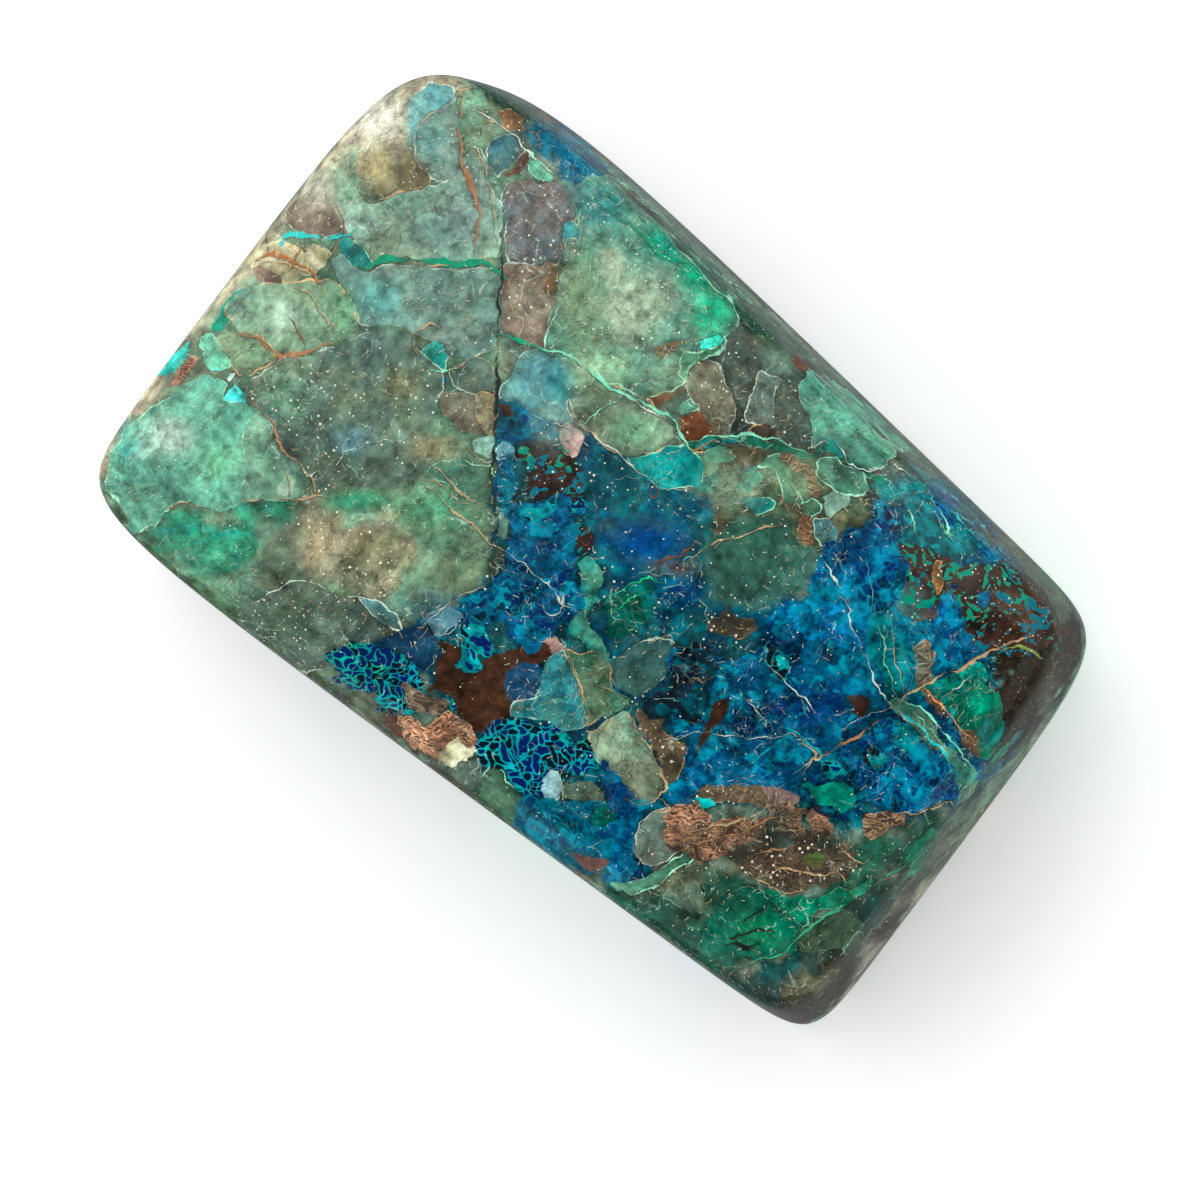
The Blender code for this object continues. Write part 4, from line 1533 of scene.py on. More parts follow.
def painted(clast, rng, fields, near, depth):
    """A clast's colour near it: its two tints in clouds, and painted light and shade at its edge.
    """
    mineral = MINERALS[clast.mineral]
    share = 0.5 + TINT_CLOUDS * fields.middle[near] + rng.uniform(-TINT_CHANCE, TINT_CHANCE)
    share = np.clip(share, 0.0, 1.0)[:, None]
    tint = linear(mineral.tint) * (1 - share) + linear(mineral.second) * share
    # painted light and shade: a random lightening or darkening that fades in from the clast's edge
    painted_edge_light = rng.uniform(*EDGE_PAINTED_LIGHT)
    painted_edge_light *= np.exp(-np.abs(depth) / rng.uniform(*EDGE_PAINTED_LIGHT_REACH))
    light = 1.0 + SLOW_LIGHT * fields.slow[near] + QUICK_LIGHT * fields.quick[near] + painted_edge_light
    return tint * (light * clast.light)[:, None] * rng.uniform(*TINT_SPREAD, 3)


def lay_clast(name, clast, sides, fields):
    """A clast's depths and colours, for the places near it on both sides."""
    mineral = MINERALS[clast.mineral]
    rng = np.random.default_rng(sum(name.encode()))
    thickness = rng.uniform(*CLAST_THICKNESS)
    outline = rounded(read_points(clast.outline), closed=True)
    reach = REACH + mineral.soft
    numbers, depths = [], []
    for side in sides:
        near = near_box(side.pixels, outline, reach * MM / PIXEL)
        limit = thickness * side.share + fields.slow[near] * UNDERSIDE_WAVE
        close = side.depth[near] < limit + reach
        near, limit = near[close], limit[close]
        plan = inside_distance(side.pixels[near], outline) * PIXEL / MM
        numbers.append(near)
        depths.append(np.minimum(plan, limit - side.depth[near]))
    near, depth = np.concatenate(numbers), np.concatenate(depths)
    depth = depth + mineral.ragged * fields.edge[near]
    return Laid(mineral, painted(clast, rng, fields, near, depth), near, depth)


def deeper_than(clast, depth, count):
    """True for the places that lie deeper than that in a clast."""
    mask = np.zeros(count, bool)
    mask[clast.numbers[clast.depth > depth]] = True
    return mask


def stacked(laid, count):
    """Sorts clasts into layers: those in one layer don't meet, and a later one covers."""
    levels = []
    nears = [deeper_than(clast, -MEETING, count) for clast in laid]
    inners = [deeper_than(clast, MEETING / 2, count) for clast in laid]
    for number, clast in enumerate(laid):
        own = clast.numbers[clast.depth > -MEETING]
        deep = clast.numbers[clast.depth > MEETING / 2]
        meets = [other for other in range(number) if nears[other][own].any()]
        covers = [other for other in meets if inners[other][deep].sum() > COVERED_PLACES]
        level = 1 + max((levels[other] for other in covers), default=-1)
        while level in {levels[other] for other in meets}:
            level += 1
        levels.append(level)
    return levels


def blank_layer(count):
    """A layer that no clast is on."""
    layer = Layer(np.zeros((count, 4)), np.zeros((count, 4)))
    layer.tint[:, 3] = FAR
    return layer


def put_clast(layer, clast, fields):
    """Writes a clast on a layer, where it is deeper than what is there."""
    wins = clast.depth > layer.tint[clast.numbers, 3]
    here = clast.numbers[wins]
    layer.tint[here, :3] = clast.tint[wins]
    layer.tint[here, 3] = clast.depth[wins]
    layer.rim[here, :3] = linear(clast.mineral.rim)
    layer.rim[here, 3] = clast.mineral.rim_width * np.clip(0.5 + fields.breaks[here], *RIM_BREAKS)


def put_looks(looks, clast, cover):
    """Gives the places of a clast its mineral's looks, as far as it covers them."""
    here, mineral = clast.numbers, clast.mineral
    share = cover[:, None]
    look = np.array([mineral.specks, mineral.hairs, mineral.needles, 0.0])
    kind = np.array([mineral.mottle, mineral.pits, mineral.islands, mineral.grain])
    looks.look[here] += (look - looks.look[here]) * share
    looks.kind[here] += (kind - looks.kind[here]) * share


def cast_shadow(layers, clast):
    """Darkens what lies under a clast, close to its edge."""
    shade = 1.0 - EDGE_SHADOW * np.exp(-np.abs(clast.depth) / EDGE_SHADOW_REACH)
    for layer in layers:
        layer.tint[clast.numbers, :3] *= shade[:, None]


def ground_layer(laid, looks, fields, count):
    """The rock between the clasts, with the soft-edged clasts painted in."""
    everywhere = np.arange(count)
    rng = np.random.default_rng(GROUND_SEED)
    tint = painted(Clast("ground", ""), rng, fields, everywhere, np.full(count, -FAR))
    layer = blank_layer(count)
    layer.tint[:, :3] = tint
    put_looks(looks, Laid(MINERALS["ground"], tint, everywhere, everywhere), np.ones(count))
    for clast in laid:
        cover = np.clip(clast.depth / clast.mineral.soft + 0.5, 0.0, 1.0)
        below = layer.tint[clast.numbers, :3]
        layer.tint[clast.numbers, :3] = below + (clast.tint - below) * cover[:, None]
        put_looks(looks, clast, cover)
    return layer


def write_colour(mesh, name, values):
    attribute = mesh.attributes.new(name, "FLOAT_COLOR", "POINT")
    attribute.data.foreach_set("color", np.ascontiguousarray(values, np.float32).ravel())


def write_layer(mesh, name, layer):
    for part, values in zip(layer._fields, layer):
        write_colour(mesh, f"{part}_{name}", values)


def write_clasts(mesh, sides, fields):
    """Writes the ground and the clasts' layers on the mesh; returns how many layers."""
    count = len(mesh.vertices)
    laid = [lay_clast(name, clast, sides, fields) for name, clast in CLASTS.items()]
    soft = [clast for clast in laid if clast.mineral.soft]
    crisp = [clast for clast in laid if not clast.mineral.soft]
    looks = Looks(np.zeros((count, 4)), np.zeros((count, 4)))
    ground = ground_layer(soft, looks, fields, count)
    levels = stacked(crisp, count)
    layers = [blank_layer(count) for _ in range(max(levels) + 1)]
    for level, clast in zip(levels, crisp):
        cast_shadow([ground, *layers[:level]], clast)
        put_clast(layers[level], clast, fields)
        put_looks(looks, clast, clast.depth > 0.0)
    write_layer(mesh, "ground", ground)
    write_layer(mesh, "all", looks)
    for level, layer in enumerate(layers):
        write_layer(mesh, level, layer)
    return len(layers)


# Veins, washes and places on the mesh. Lengths are in mm

VEIN_DEPTH = 9.0
VEIN_TAPER = 0.35
VEIN_TIP = 0.03  # of its length, past which a vein grows no thinner
VEIN_MEETING = 0.6
VEIN_WAVE = 0.05
VEIN_FULLNESS = 0.85
VEIN_SWELL = 0.5
VEIN_BREAKS = (0.1, 1.4)  # times a vein's width, at its thinnest and its widest
WASH_DEPTH = 8.0
WASH_FALL = 1.5
LEAST_COVER = 1e-4
LEAST_SLOPE = 1e-6

# A layer of veins: the offset, distance and half width of the nearest, its tint, and where
# the layer is taken.
VeinLayer = namedtuple("VeinLayer", "values tint taken")


def vein_offsets(vein, side):
    """The places near a vein: their signed distance from it, and its half width there."""
    line = rounded(read_points(vein.line), closed=False)
    near = near_box(side.pixels, line, REACH * MM / PIXEL)
    near = near[side.depth[near] < VEIN_DEPTH * side.share]
    best = np.full(len(near), ENDLESS)
    signed = np.full(len(near), ENDLESS)
    width = np.zeros(len(near))
    for number, (start, end) in enumerate(zip(line[:-1], line[1:])):
        distance, side_of, along = segment_offsets(side.pixels[near], start, end)
        closer = distance < best
        best = np.where(closer, distance, best)
        signed = np.where(closer, distance * side_of, signed)
        share = np.clip((number + along) / (len(line) - 1), VEIN_TIP, 1 - VEIN_TIP)
        width = np.where(closer, np.sin(math.pi * share) ** VEIN_TAPER, width)
    return near, signed * PIXEL / MM, width * vein.width / 2


def free_layer(layers, close, count):
    """The first layer of veins with none at those places, which a new one is if need be."""
    for layer in layers:
        if not layer.taken[close].any():
            return layer
    layer = VeinLayer(np.zeros((count, 4)), np.zeros((count, 4)), np.zeros(count, bool))
    layer.values[:, :2] = -FAR
    layers.append(layer)
    return layer


def write_veins(mesh, sides, fields):
    """Writes the veins' layers on the mesh and returns how many there are."""
    layers = []
    for vein in VEINS.values():
        parts = [vein_offsets(vein, side) for side in sides]
        near, offset, width = (np.concatenate(part) for part in zip(*parts))
        close = near[np.abs(offset) < VEIN_MEETING]
        values, tint, taken = free_layer(layers, close, len(mesh.vertices))
        taken[close] = True
        wins = np.abs(offset) < values[near, 1]
        here = near[wins]
        values[here, 0] = offset[wins] + VEIN_WAVE * fields.edge[here]
        values[here, 1] = np.abs(offset[wins])
        swell = VEIN_FULLNESS + VEIN_SWELL * fields.breaks[here]
        values[here, 2] = width[wins] * np.clip(swell, *VEIN_BREAKS)
        tint[here, :3] = linear(vein.tint)
    for level, layer in enumerate(layers):
        write_colour(mesh, f"vein_{level}", layer.values)
        write_colour(mesh, f"vein_tint_{level}", layer.tint)
    return len(layers)


def write_washes(mesh, sides):
    """Writes the soft washes on the mesh: tints, with the painted highlights, painted glow and
    painted shade among them.
    """
    wash = np.zeros((len(mesh.vertices), 4))
    for spot in WASHES.values():
        for side in sides:
            offset = (side.pixels - (spot.x, spot.y)) / (spot.half_width, spot.half_height)
            across = (offset**2).sum(axis=1) ** WASH_FALL
            cover = spot.strength * np.exp(-across - (side.depth / WASH_DEPTH) ** 2)[:, None]
            wash[:, :3] = wash[:, :3] * (1 - cover) + linear(spot.tint) * cover
            wash[:, 3:] = wash[:, 3:] * (1 - cover) + cover
    cover = np.maximum(wash[:, 3:], LEAST_COVER)
    write_colour(mesh, "wash", np.hstack([wash[:, :3] / cover, wash[:, 3:]]))


def write_places(mesh, name, places):
    """Writes a flat place for each point, as a UV map in mm."""
    points = np.empty(len(mesh.loops), np.int32)
    mesh.loops.foreach_get("vertex_index", points)
    layer = mesh.uv_layers.new(name=name, do_init=False)
    layer.data.foreach_set("uv", np.ascontiguousarray(places[points], np.float32).ravel())


def write_fields(mesh, in_mm, fields):
    """Writes the fields that the material cuts into crisp shapes, and its flat places."""
    level = rows_of(mesh.vertices, "normal")[:, :2]
    level = level / np.maximum(np.linalg.norm(level, axis=1), LEAST_SLOPE)[:, None]
    fold = np.minimum(in_mm[:, 2], in_mm[:, 2].max() - in_mm[:, 2])[:, None]
    flat = in_mm[:, :2] + level * fold
    write_places(mesh, "flat", flat)
    write_places(mesh, "bent", flat + bends(in_mm, PLACE_BEND))
    shapes = [fields.blotch, fields.patch, fields.island, fields.curl]
    gates = [fields.gate, fields.breaks, fields.middle, np.ones(len(in_mm))]
    write_colour(mesh, "shapes", np.stack(shapes, axis=1))
    write_colour(mesh, "gates", np.stack(gates, axis=1))


# Shader nodes, written as sums


class Signal:
    """A value that flows between shader nodes, with arithmetic."""

    def __init__(self, socket):
        self.socket = socket

    def math(self, operation, *others):
        node = self.socket.id_data.nodes.new("ShaderNodeMath")
        node.operation = operation
        feed(node.inputs[0], self)
        for socket, value in zip(node.inputs[1:], others):
            feed(socket, value)
        return Signal(node.outputs[0])

    def __add__(self, other):
        return self.math("ADD", other)

    def __sub__(self, other):
        return self.math("SUBTRACT", other)

    def __mul__(self, other):
        return self.math("MULTIPLY", other)

    def clamped(self):
        node = self.socket.id_data.nodes.new("ShaderNodeClamp")
        feed(node.inputs[0], self)
        return Signal(node.outputs[0])

    def absolute(self):
        return self.math("ABSOLUTE")

    def above(self, low, high):
        """Rises from 0 at low to 1 at high, or falls where low is the larger."""
        scale = 1.0 / (high - low)
        return self.math("MULTIPLY_ADD", scale, -low * scale).clamped()


def feed(socket, value):
    """Sets a socket to a number or a colour, or links a signal to it."""
    if isinstance(value, Signal):
        socket.id_data.links.new(value.socket, socket)
    elif hasattr(value, "__len__") and len(value) == 3 and len(socket.default_value) == 4:
        socket.default_value = (*value, 1.0)
    else:
        socket.default_value = value


FINE_WAVES = 0.9  # to the mm
FINE_OCTAVES = 5.0
NOISE_ROUGHNESS = 0.6
LIVELY = (0.0, 0.3)

Cell = namedtuple("Cell", "near red green blue x y wall")


class Rock:
    """The stone's shader nodes, and what the mesh and fine noise say of each place."""

    def __init__(self, tree):
        self.tree = tree
        self.flat = self.places("flat")
        self.bent = self.places("bent")
        shapes, self.curl = self.attribute("shapes")
        self.blotch, self.patch, self.island = self.parts(shapes)
        self.gate, self.breaks, self.middle = self.parts(self.attribute("gates")[0])
        self.specks, self.hairs, self.needles = self.parts(self.attribute("look_all")[0])
        kind, self.grain = self.attribute("kind_all")
        self.mottle, self.pits, self.islands = self.parts(kind)
        self.fine, fine_colour = self.noise(self.flat, FINE_WAVES, FINE_OCTAVES)
        self.texture = self.parts(fine_colour)[1]
        self.lively = self.needles.above(*LIVELY)

    def places(self, name):
        node = self.tree.nodes.new("ShaderNodeUVMap")
        node.uv_map = name
        return Signal(node.outputs[0])

    def attribute(self, name):
        """The colour and the fourth number that the mesh carries under a name."""
        node = self.tree.nodes.new("ShaderNodeAttribute")
        node.attribute_name = name
        return Signal(node.outputs["Color"]), Signal(node.outputs["Alpha"])

    def parts(self, colour):
        node = self.tree.nodes.new("ShaderNodeSeparateColor")
        feed(node.inputs[0], colour)
        return [Signal(output) for output in node.outputs[:3]]

    def x_and_y(self, vector):
        node = self.tree.nodes.new("ShaderNodeSeparateXYZ")
        feed(node.inputs[0], vector)
        return Signal(node.outputs[0]), Signal(node.outputs[1])

    def drawn_out(self, turn, length):
        """The bent places, turned and drawn out to that many times their length."""
        node = self.tree.nodes.new("ShaderNodeMapping")
        node.vector_type = "TEXTURE"
        feed(node.inputs["Vector"], self.bent)
        feed(node.inputs["Rotation"], (0.0, 0.0, turn))
        feed(node.inputs["Scale"], (length, 1.0, 1.0))
        return Signal(node.outputs[0])

    def noise(self, where, waves, octaves):
        """Noise over flat places, with about that many waves to the mm, from 0 to 1."""
        node = self.tree.nodes.new("ShaderNodeTexNoise")
        node.noise_dimensions = "2D"
        feed(node.inputs["Vector"], where)
        node.inputs["Scale"].default_value = waves
        node.inputs["Detail"].default_value = octaves
        node.inputs["Roughness"].default_value = NOISE_ROUGHNESS
        return Signal(node.outputs["Fac"]), Signal(node.outputs["Color"])

    def voronoi(self, where, size, feature):
        node = self.tree.nodes.new("ShaderNodeTexVoronoi")
        node.voronoi_dimensions = "2D"
        node.feature = feature
        feed(node.inputs["Vector"], where)
        node.inputs["Scale"].default_value = 1.0 / size
        return node.outputs

    def cells(self, where, size):
        """Cells of about that size: what is known of the one at a place, in mm."""
        near = self.voronoi(where, size, "F1")
        far = self.voronoi(where, size, "F2")
        red, green, blue = self.parts(Signal(near["Color"]))
        x, y = self.x_and_y(Signal(near["Position"]))
        wall = (Signal(far["Distance"]) - Signal(near["Distance"])) * (size / 2)
        return Cell(Signal(near["Distance"]) * size, red, green, blue, x, y, wall)

    def blend(self, share, first, second, mode="MIX"):
        """Mixes two colours."""
        node = self.tree.nodes.new("ShaderNodeMix")
        node.data_type = "RGBA"
        node.blend_type = mode
        feed(node.inputs[0], share)
        feed(node.inputs[6], first)
        feed(node.inputs[7], second)
        return Signal(node.outputs[2])

    def lit(self, colour, light):
        """A colour that many times as light."""
        grey = self.tree.nodes.new("ShaderNodeCombineColor")
        for socket in grey.inputs:
            feed(socket, light)
        return self.blend(1.0, colour, Signal(grey.outputs[0]), "MULTIPLY")

    def vivid(self, colour, amount):
        """A colour that many times as full."""
        node = self.tree.nodes.new("ShaderNodeHueSaturation")
        node.inputs["Saturation"].default_value = amount
        feed(node.inputs["Color"], colour)
        return Signal(node.outputs[0])


# The stone's material. Lengths are in mm. A pair of bounds says where a noise or a distance
# turns into a mark: from none of it at the first to the whole of it at the second.

EDGE_ROUGHNESS = 0.4
EDGE_CRISPNESS = 20.0
RIM_CRISPNESS = 25.0


def add_clasts(rock, count):
    """Lays the clasts' layers over the ground, each with its rough edge and its rim."""
    colour, _ = rock.attribute("tint_ground")
    rough = (rock.fine - 0.5) * EDGE_ROUGHNESS
    for level in range(count):
        tint, distance = rock.attribute(f"tint_{level}")
        rim, rim_width = rock.attribute(f"rim_{level}")
        depth = distance + rough
        cover = (depth * EDGE_CRISPNESS + 0.5).clamped()
        on_rim = ((rim_width - depth.absolute()) * RIM_CRISPNESS).clamped()
        colour = rock.blend(on_rim, rock.blend(cover, colour, tint), rim)
    return colour


def add_washes(rock, colour):
    wash, washed = rock.attribute("wash")
    return rock.blend(washed, colour, wash)


LARGE_PIECES = 3.4
SMALL_PIECES = 1.3
LARGE_CRACKS = 0.5
SMALL_CRACKS = 0.12
PIECE_LIGHT = 0.32
CRACK = (0.045, 0.015)
CRACK_BREAKS = (0.0, 0.3)
CRACK_TURNS_DARK = (0.0, 0.2)
PALE_CRACK = (176, 196, 176)
DARK_CRACK = (60, 66, 56)


def add_cracks(rock, colour, size, breaks, shown):
    """Flat-sided pieces of slightly different lightness, with a fine crack between some."""
    cell = rock.cells(rock.bent, size)
    colour = rock.lit(colour, cell.red * PIECE_LIGHT + (1 - PIECE_LIGHT / 2))
    turned = rock.middle.above(*CRACK_TURNS_DARK)
    tint = rock.blend(turned, linear(PALE_CRACK), linear(DARK_CRACK))
    line = cell.wall.above(*CRACK) * breaks.above(*CRACK_BREAKS)
    return rock.blend(line * rock.lively * shown, colour, tint)


FIBRE_TURN = math.radians(75.0)
FIBRE_LENGTH = 2.6
FIBRE_WAVES = 5.0
FIBRE_OCTAVES = 2.0
TEXTURE_LIGHT = 2.3
FIBRE_LIGHT = 0.6
ROCK_LIGHT = 0.99
PALE_FIBRE_HEIGHT = 0.58
PALE_FIBRE = (0.04, 0.01)
PALE_FIBRE_LIGHT = 0.26
DARK_FIBRE_HEIGHT = 0.40
DARK_FIBRE = (0.05, 0.01)
DARK_FIBRE_SHADE = 0.20
FIBRE_PATCHES = (-0.5, 0.5)


def add_fibres(rock, colour):
    """Light and dark in the rock, with fine light fibres in patches and dark ones everywhere."""
    fibre = rock.noise(rock.drawn_out(FIBRE_TURN, FIBRE_LENGTH), FIBRE_WAVES, FIBRE_OCTAVES)[0]
    light = (rock.texture - 0.5) * TEXTURE_LIGHT + (fibre - 0.5) * FIBRE_LIGHT + ROCK_LIGHT
    patch = rock.gate.above(*FIBRE_PATCHES) * rock.lively
    pale = (fibre - PALE_FIBRE_HEIGHT).absolute().above(*PALE_FIBRE) * patch
    dark = (fibre - DARK_FIBRE_HEIGHT).absolute().above(*DARK_FIBRE)
    fibre_light = pale * PALE_FIBRE_LIGHT - dark * DARK_FIBRE_SHADE + 1.0
    return rock.lit(rock.lit(colour, light), fibre_light)


ROUGH_BLOTCH = 1.8
DEEP_FILTER = (0.20, 0.32, 0.50)
DEEP_BLOTCH = (0.05, 0.25)
BRIGHT_BLUE = (24, 176, 194)
BRIGHT_SHARE = 0.52
BRIGHT_BLOTCH = (0.30, 0.45)
BRIGHT_SHINE = (0.36, 0.62)


def add_mottle(rock, colour):
    """Deep and bright blotches with rough edges."""
    deep = rock.blend(1.0, colour, DEEP_FILTER, "MULTIPLY")
    bright = rock.blend(BRIGHT_SHARE, colour, linear(BRIGHT_BLUE))
    uneven = (rock.fine - 0.5) * ROUGH_BLOTCH
    in_deep = (rock.blotch + uneven).above(*DEEP_BLOTCH)
    in_bright = (rock.patch + uneven).above(*BRIGHT_BLOTCH) * rock.texture.above(*BRIGHT_SHINE)
    colour = rock.blend(in_deep * rock.mottle, colour, deep)
    return rock.blend(in_bright * rock.mottle, colour, bright)


ISLAND = (0.30, 0.42)
ISLAND_TURNS_GREEN = (-0.2, 0.2)
BLUE_ISLAND = (6, 104, 120)
GREEN_ISLAND = (30, 134, 108)


def add_islands(rock, colour):
    """Turquoise and green spots in the brown."""
    turned = rock.middle.above(*ISLAND_TURNS_GREEN)
    tint = rock.blend(turned, linear(BLUE_ISLAND), linear(GREEN_ISLAND))
    spot = (rock.island + (rock.fine - 0.5) * ROUGH_BLOTCH).above(*ISLAND)
    return rock.blend(spot * rock.islands, colour, tint)


NET_CELLS = 0.62
NET_WALL = (0.05, 0.02)
NET_WALL_TINT = (60, 190, 190)
NET_WALL_SHARE = 0.4
PIT = (0.07, 0.11)
PIT_SPREAD = 0.08
PIT_CHOICE = (0.75, 0.95)
PIT_FADES_IN = (0.05, 0.3)
PIT_TURNS_BLACK = (0.5, 0.6)
BLUE_PIT = (8, 32, 88)
BLACK_PIT = (8, 22, 34)


def add_pits(rock, colour):
    """The net of bright walls round dark blue cells."""
    cell = rock.cells(rock.bent, NET_CELLS)
    shade = rock.blend(cell.green.above(*PIT_TURNS_BLACK), linear(BLUE_PIT), linear(BLACK_PIT))
    chosen = (cell.red + rock.pits).above(*PIT_CHOICE)
    pit = (cell.wall + cell.blue * PIT_SPREAD).above(*PIT) * chosen
    wall = cell.wall.above(*NET_WALL) * rock.pits * NET_WALL_SHARE
    colour = rock.blend(wall, colour, linear(NET_WALL_TINT))
    return rock.blend(pit * rock.pits.above(*PIT_FADES_IN), colour, shade)


GRAIN_TURN = math.radians(30.0)
GRAIN_LENGTH = 5.0
GRAIN_WAVES = 1.7
GRAIN_OCTAVES = 2.0
GRAIN_STREAKS = 8.0
GRAIN_STREAK = (0.14, 0.34)
GRAIN_TINT = (46, 40, 36)
GRAIN_SHARE = 0.9


def add_grain(rock, colour):
    """Streaks like those of weathered wood."""
    height = rock.noise(rock.drawn_out(GRAIN_TURN, GRAIN_LENGTH), GRAIN_WAVES, GRAIN_OCTAVES)[0]
    streak = (height * GRAIN_STREAKS).math("FRACT") - 0.5
    dark = streak.absolute().above(*GRAIN_STREAK)
    return rock.blend(dark * rock.grain * GRAIN_SHARE, colour, linear(GRAIN_TINT))


VEIN_ROUGHNESS = 0.5
VEIN_MARGIN = 0.4
VEIN_FADE = 8.0
VEIN_CRISPNESS = 22.0
VEIN_GRAIN = 1.6
VEIN_DARKEST = 0.25
SHADOW_WIDTH = 0.03
SHADOW_ASIDE = 0.05
SHADOW_CRISPNESS = 20.0
SHADOW_SHARE = 0.6
SHADOW_TINT = (38, 36, 32)


def add_veins(rock, colour, count):
    """The veins, each with a dark line along one side."""
    for level in range(count):
        signed, distance, half = rock.parts(rock.attribute(f"vein_{level}")[0])
        tint, _ = rock.attribute(f"vein_tint_{level}")
        offset = signed + (rock.fine - 0.5) * VEIN_ROUGHNESS
        near = ((half + VEIN_MARGIN - distance) * VEIN_FADE).clamped()
        aside = (offset - SHADOW_ASIDE).absolute()
        shadow = ((half + SHADOW_WIDTH - aside) * SHADOW_CRISPNESS).clamped()
        inside = ((half - offset.absolute()) * VEIN_CRISPNESS).clamped()
        colour = rock.blend(shadow * near * SHADOW_SHARE, colour, linear(SHADOW_TINT))
        grainy = rock.lit(tint, rock.fine * VEIN_GRAIN + VEIN_DARKEST)
        colour = rock.blend(inside * near, colour, grainy)
    return colour


HAIR = (0.045, 0.015)
HAIR_PATCHES = (-0.1, 0.4)
HAIR_SHARE = 0.8
HAIR_TURNS_TAN = (-0.1, 0.2)
PALE_HAIR = (186, 204, 180)
TAN_HAIR = (190, 146, 102)


def add_hairs(rock, colour):
    """Fine curled lines, pale in some places and tan in others."""
    line = rock.curl.absolute().above(*HAIR) * rock.gate.above(*HAIR_PATCHES)
    turned = rock.middle.above(*HAIR_TURNS_TAN)
    tint = rock.blend(turned, linear(PALE_HAIR), linear(TAN_HAIR))
    return rock.blend((line * rock.hairs * HAIR_SHARE).clamped(), colour, tint)


NEEDLE_CELLS = 0.66
NEEDLE_LENGTH = 0.34
NEEDLE_WIDTH = (0.035, 0.01)
NEEDLE_TIP = (0.0, 0.06)
NEEDLE_LIKING = 0.5
NEEDLE_SWARMS = 0.22
NEEDLE_CHOICE = (0.88, 1.0)
NEEDLE_SHARE = 0.6
NEEDLE_TURNS_TAN = (0.75, 0.8)
PALE_NEEDLE = (220, 222, 200)
TAN_NEEDLE = (196, 168, 122)


def add_needles(rock, colour):
    """Short straight scratches in swarms, each across a cell at its own angle."""
    cell = rock.cells(rock.flat, NEEDLE_CELLS)
    turn = cell.red * (2 * math.pi)
    cosine, sine = turn.math("COSINE"), turn.math("SINE")
    x, y = rock.x_and_y(rock.flat)
    x, y = x - cell.x, y - cell.y
    along = (x * cosine + y * sine).absolute()
    across = (y * cosine - x * sine).absolute()
    end = (cell.green * NEEDLE_LENGTH - along).above(*NEEDLE_TIP)
    needle = across.above(*NEEDLE_WIDTH) * end
    liking = cell.blue + rock.needles * NEEDLE_LIKING + rock.gate * NEEDLE_SWARMS
    turned = cell.green.above(*NEEDLE_TURNS_TAN)
    tint = rock.blend(turned, linear(PALE_NEEDLE), linear(TAN_NEEDLE))
    return rock.blend(needle * liking.above(*NEEDLE_CHOICE) * NEEDLE_SHARE, colour, tint)


DUST_CELLS = 0.40
DOT_SIZE = 0.055
DOT_EDGE = (0.0, 0.02)
DOT_CHOICE = (0.93, 0.98)
DOT_LIKING = 0.45
DOT_FAINTEST = 0.3
DOT_TURNS_TAN = (0.45, 0.40)
PALE_DOT = (234, 228, 204)
TAN_DOT = (206, 164, 120)
DARK_DOT = (16, 44, 38)
DARK_DOT_CHOICE = (0.10, 0.06)
DARK_DOT_SHARE = 0.7


def add_dust(rock, colour):
    """Bright specks, and a few dark ones, each in the middle of a cell."""
    cell = rock.cells(rock.flat, DUST_CELLS)
    reach = cell.green * (rock.specks * DOT_SIZE + DOT_SIZE)
    dot = (reach - cell.near).above(*DOT_EDGE)
    dark = dot * cell.red.above(*DARK_DOT_CHOICE)
    colour = rock.blend(dark * DARK_DOT_SHARE, colour, linear(DARK_DOT))
    chosen = (cell.red + rock.specks * DOT_LIKING).above(*DOT_CHOICE)
    turned = cell.blue.above(*DOT_TURNS_TAN)
    tint = rock.blend(turned, linear(PALE_DOT), linear(TAN_DOT))
    strength = cell.blue * (1 - DOT_FAINTEST) + DOT_FAINTEST
    return rock.blend(dot * chosen * strength, colour, tint)


FULLNESS = 1.1
POLISH_IOR = 1.27
SMOOTHEST = 0.08
ROUGHER = 0.12


def rock_colour(rock, clast_layers, vein_layers):
    """The stone's colour, from its clasts up to the marks on its polish."""
    colour = add_clasts(rock, clast_layers)
    colour = add_washes(rock, colour)
    colour = add_cracks(rock, colour, LARGE_PIECES, rock.breaks, LARGE_CRACKS)
    colour = add_cracks(rock, colour, SMALL_PIECES, rock.gate, SMALL_CRACKS)
    for add_marks in (add_fibres, add_mottle, add_islands, add_pits, add_grain):
        colour = add_marks(rock, colour)
    colour = add_veins(rock, colour, vein_layers)
    for add_marks in (add_hairs, add_needles, add_dust):
        colour = add_marks(rock, colour)
    return rock.vivid(colour, FULLNESS)


def stone_material(clast_layers, vein_layers):
    material = bpy.data.materials.new("shattuckite_rock")
    material.use_nodes = True
    rock = Rock(material.node_tree)
    shader = material.node_tree.nodes["Principled BSDF"]
    feed(shader.inputs["Base Color"], rock_colour(rock, clast_layers, vein_layers))
    feed(shader.inputs["Roughness"], rock.texture * ROUGHER + SMOOTHEST)
    shader.inputs["IOR"].default_value = POLISH_IOR
    return material


# Floor, lights and camera

FLOOR_SIZE = 3.0
FLOOR_COLOUR = (0.97, 0.97, 0.97, 1.0)
FLOOR_GLOW = 0.18
FLOOR_ROUGHNESS = 0.9
FLOOR_SHEEN = 0.1

KEY_BEARING = math.radians(150.0)
KEY_ELEVATION = math.radians(52.0)
KEY_DISTANCE = 1.2
KEY_SIZE = 1.5
KEY_POWER = 8.4

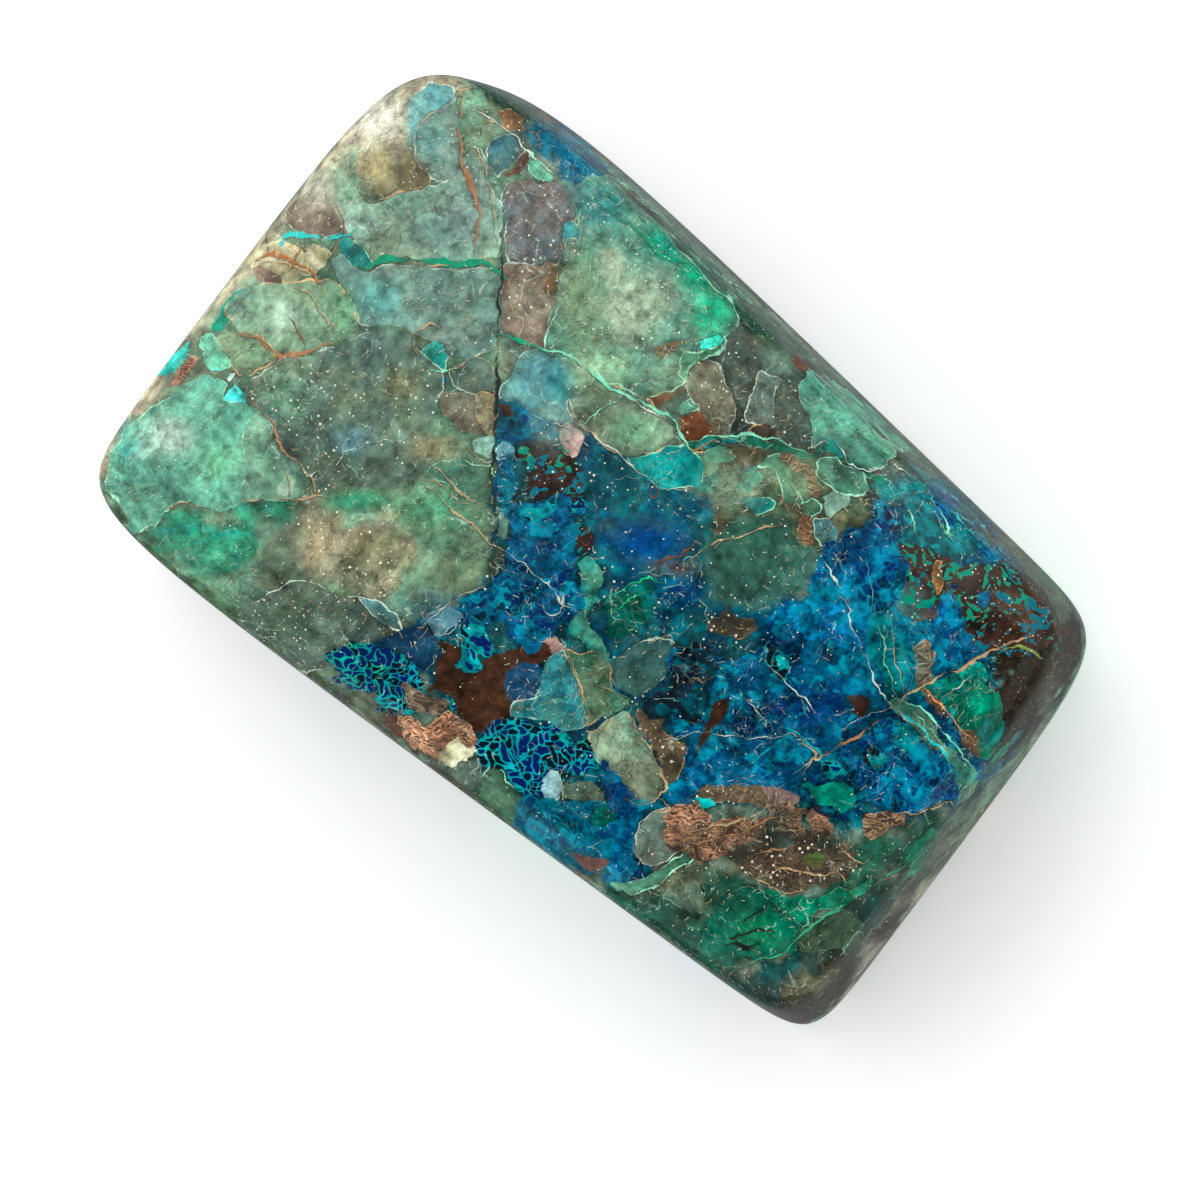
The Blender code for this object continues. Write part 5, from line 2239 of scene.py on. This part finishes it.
# The world's strength, as it changes between two heights of a direction, above the floor
# and overhead, and from the west to the east. The polish doesn't mirror the floor.
SKY_COLOUR = (0.97, 0.99, 1.0, 1.0)
HORIZON = (-0.05, 0.10, 0.15, 1.0)
ZENITH = (0.72, 0.93, 1.25, 0.02)
WESTERN = (-0.9, 0.9, 1.30, 0.80)

CAMERA_REACH = 20.0


def floor_material():
    material = bpy.data.materials.new("pale_floor")
    material.use_nodes = True
    inputs = material.node_tree.nodes["Principled BSDF"].inputs
    inputs["Base Color"].default_value = FLOOR_COLOUR
    inputs["Roughness"].default_value = FLOOR_ROUGHNESS
    inputs["Emission Color"].default_value = FLOOR_COLOUR
    inputs["Emission Strength"].default_value = FLOOR_GLOW
    inputs["Specular IOR Level"].default_value = FLOOR_SHEEN
    return material


def make_floor():
    mesh = bpy.data.meshes.new("floor")
    box = bmesh.new()
    bmesh.ops.create_grid(box, x_segments=1, y_segments=1, size=FLOOR_SIZE / 2)
    box.to_mesh(mesh)
    box.free()
    mesh.materials.append(floor_material())
    floor = bpy.data.objects.new("floor", mesh)
    bpy.context.scene.collection.objects.link(floor)
    floor.visible_glossy = False


def make_key_light():
    """A large square light that faces the stone."""
    light = bpy.data.lights.new("key", "AREA")
    light.shape = "SQUARE"
    light.size = KEY_SIZE
    light.energy = KEY_POWER
    lamp = bpy.data.objects.new("key", light)
    level = math.cos(KEY_ELEVATION)
    east, north = math.cos(KEY_BEARING) * level, math.sin(KEY_BEARING) * level
    outward = Vector((east, north, math.sin(KEY_ELEVATION)))
    lamp.location = outward * KEY_DISTANCE
    lamp.rotation_euler = outward.to_track_quat("Z", "Y").to_euler()
    bpy.context.scene.collection.objects.link(lamp)


def ranged(tree, value, low, high, bottom, top):
    """A smooth change from bottom to top as a value goes from low to high."""
    ramp = tree.nodes.new("ShaderNodeMapRange")
    ramp.interpolation_type = "SMOOTHSTEP"
    tree.links.new(value, ramp.inputs["Value"])
    for socket, number in zip(list(ramp.inputs)[1:5], (low, high, bottom, top)):
        socket.default_value = number
    return Signal(ramp.outputs["Result"])


def studio_world():
    """Soft light from all round, most from the west, and dark overhead for a clear polish."""
    world = bpy.data.worlds.new("studio")
    world.use_nodes = True
    tree = world.node_tree
    direction = tree.nodes.new("ShaderNodeTexCoord")
    split = tree.nodes.new("ShaderNodeSeparateXYZ")
    tree.links.new(direction.outputs["Generated"], split.inputs[0])
    overhead = ranged(tree, split.outputs["Z"], *ZENITH)
    horizon = ranged(tree, split.outputs["Z"], *HORIZON)
    western = ranged(tree, split.outputs["X"], *WESTERN)
    background = tree.nodes["Background"]
    background.inputs["Color"].default_value = SKY_COLOUR
    feed(background.inputs["Strength"], overhead * horizon * western)
    return world


def make_camera(view):
    camera = bpy.data.cameras.new("camera")
    camera.lens = LENS
    camera.sensor_width = SENSOR
    camera.clip_end = CAMERA_REACH
    holder = bpy.data.objects.new("camera", camera)
    turn = Matrix((view.right, view.up, view.back)).transposed()
    holder.matrix_world = Matrix.Translation(view.place) @ turn.to_4x4()
    bpy.context.scene.collection.objects.link(holder)
    bpy.context.scene.camera = holder


def make_stone():
    """Makes the stone, and returns the view that it was painted from."""
    mesh, points, slab_middle = stone_mesh()
    view = PhotoView(slab_middle)
    in_mm = points / MM
    fields = rock_fields(in_mm)
    sides = rock_sides(in_mm, view.pixels(points))
    clast_layers = write_clasts(mesh, sides, fields)
    vein_layers = write_veins(mesh, sides, fields)
    write_washes(mesh, sides)
    write_fields(mesh, in_mm, fields)
    mesh.materials.append(stone_material(clast_layers, vein_layers))
    stone = bpy.data.objects.new("polished_stone", mesh)
    bpy.context.scene.collection.objects.link(stone)
    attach(stone, "root")
    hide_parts("shattuckite_freeform")
    return view


photo_view = make_stone()
make_floor()
make_key_light()
make_camera(photo_view)
bpy.context.scene.world = studio_world()
bpy.context.scene.view_settings.view_transform = "Standard"
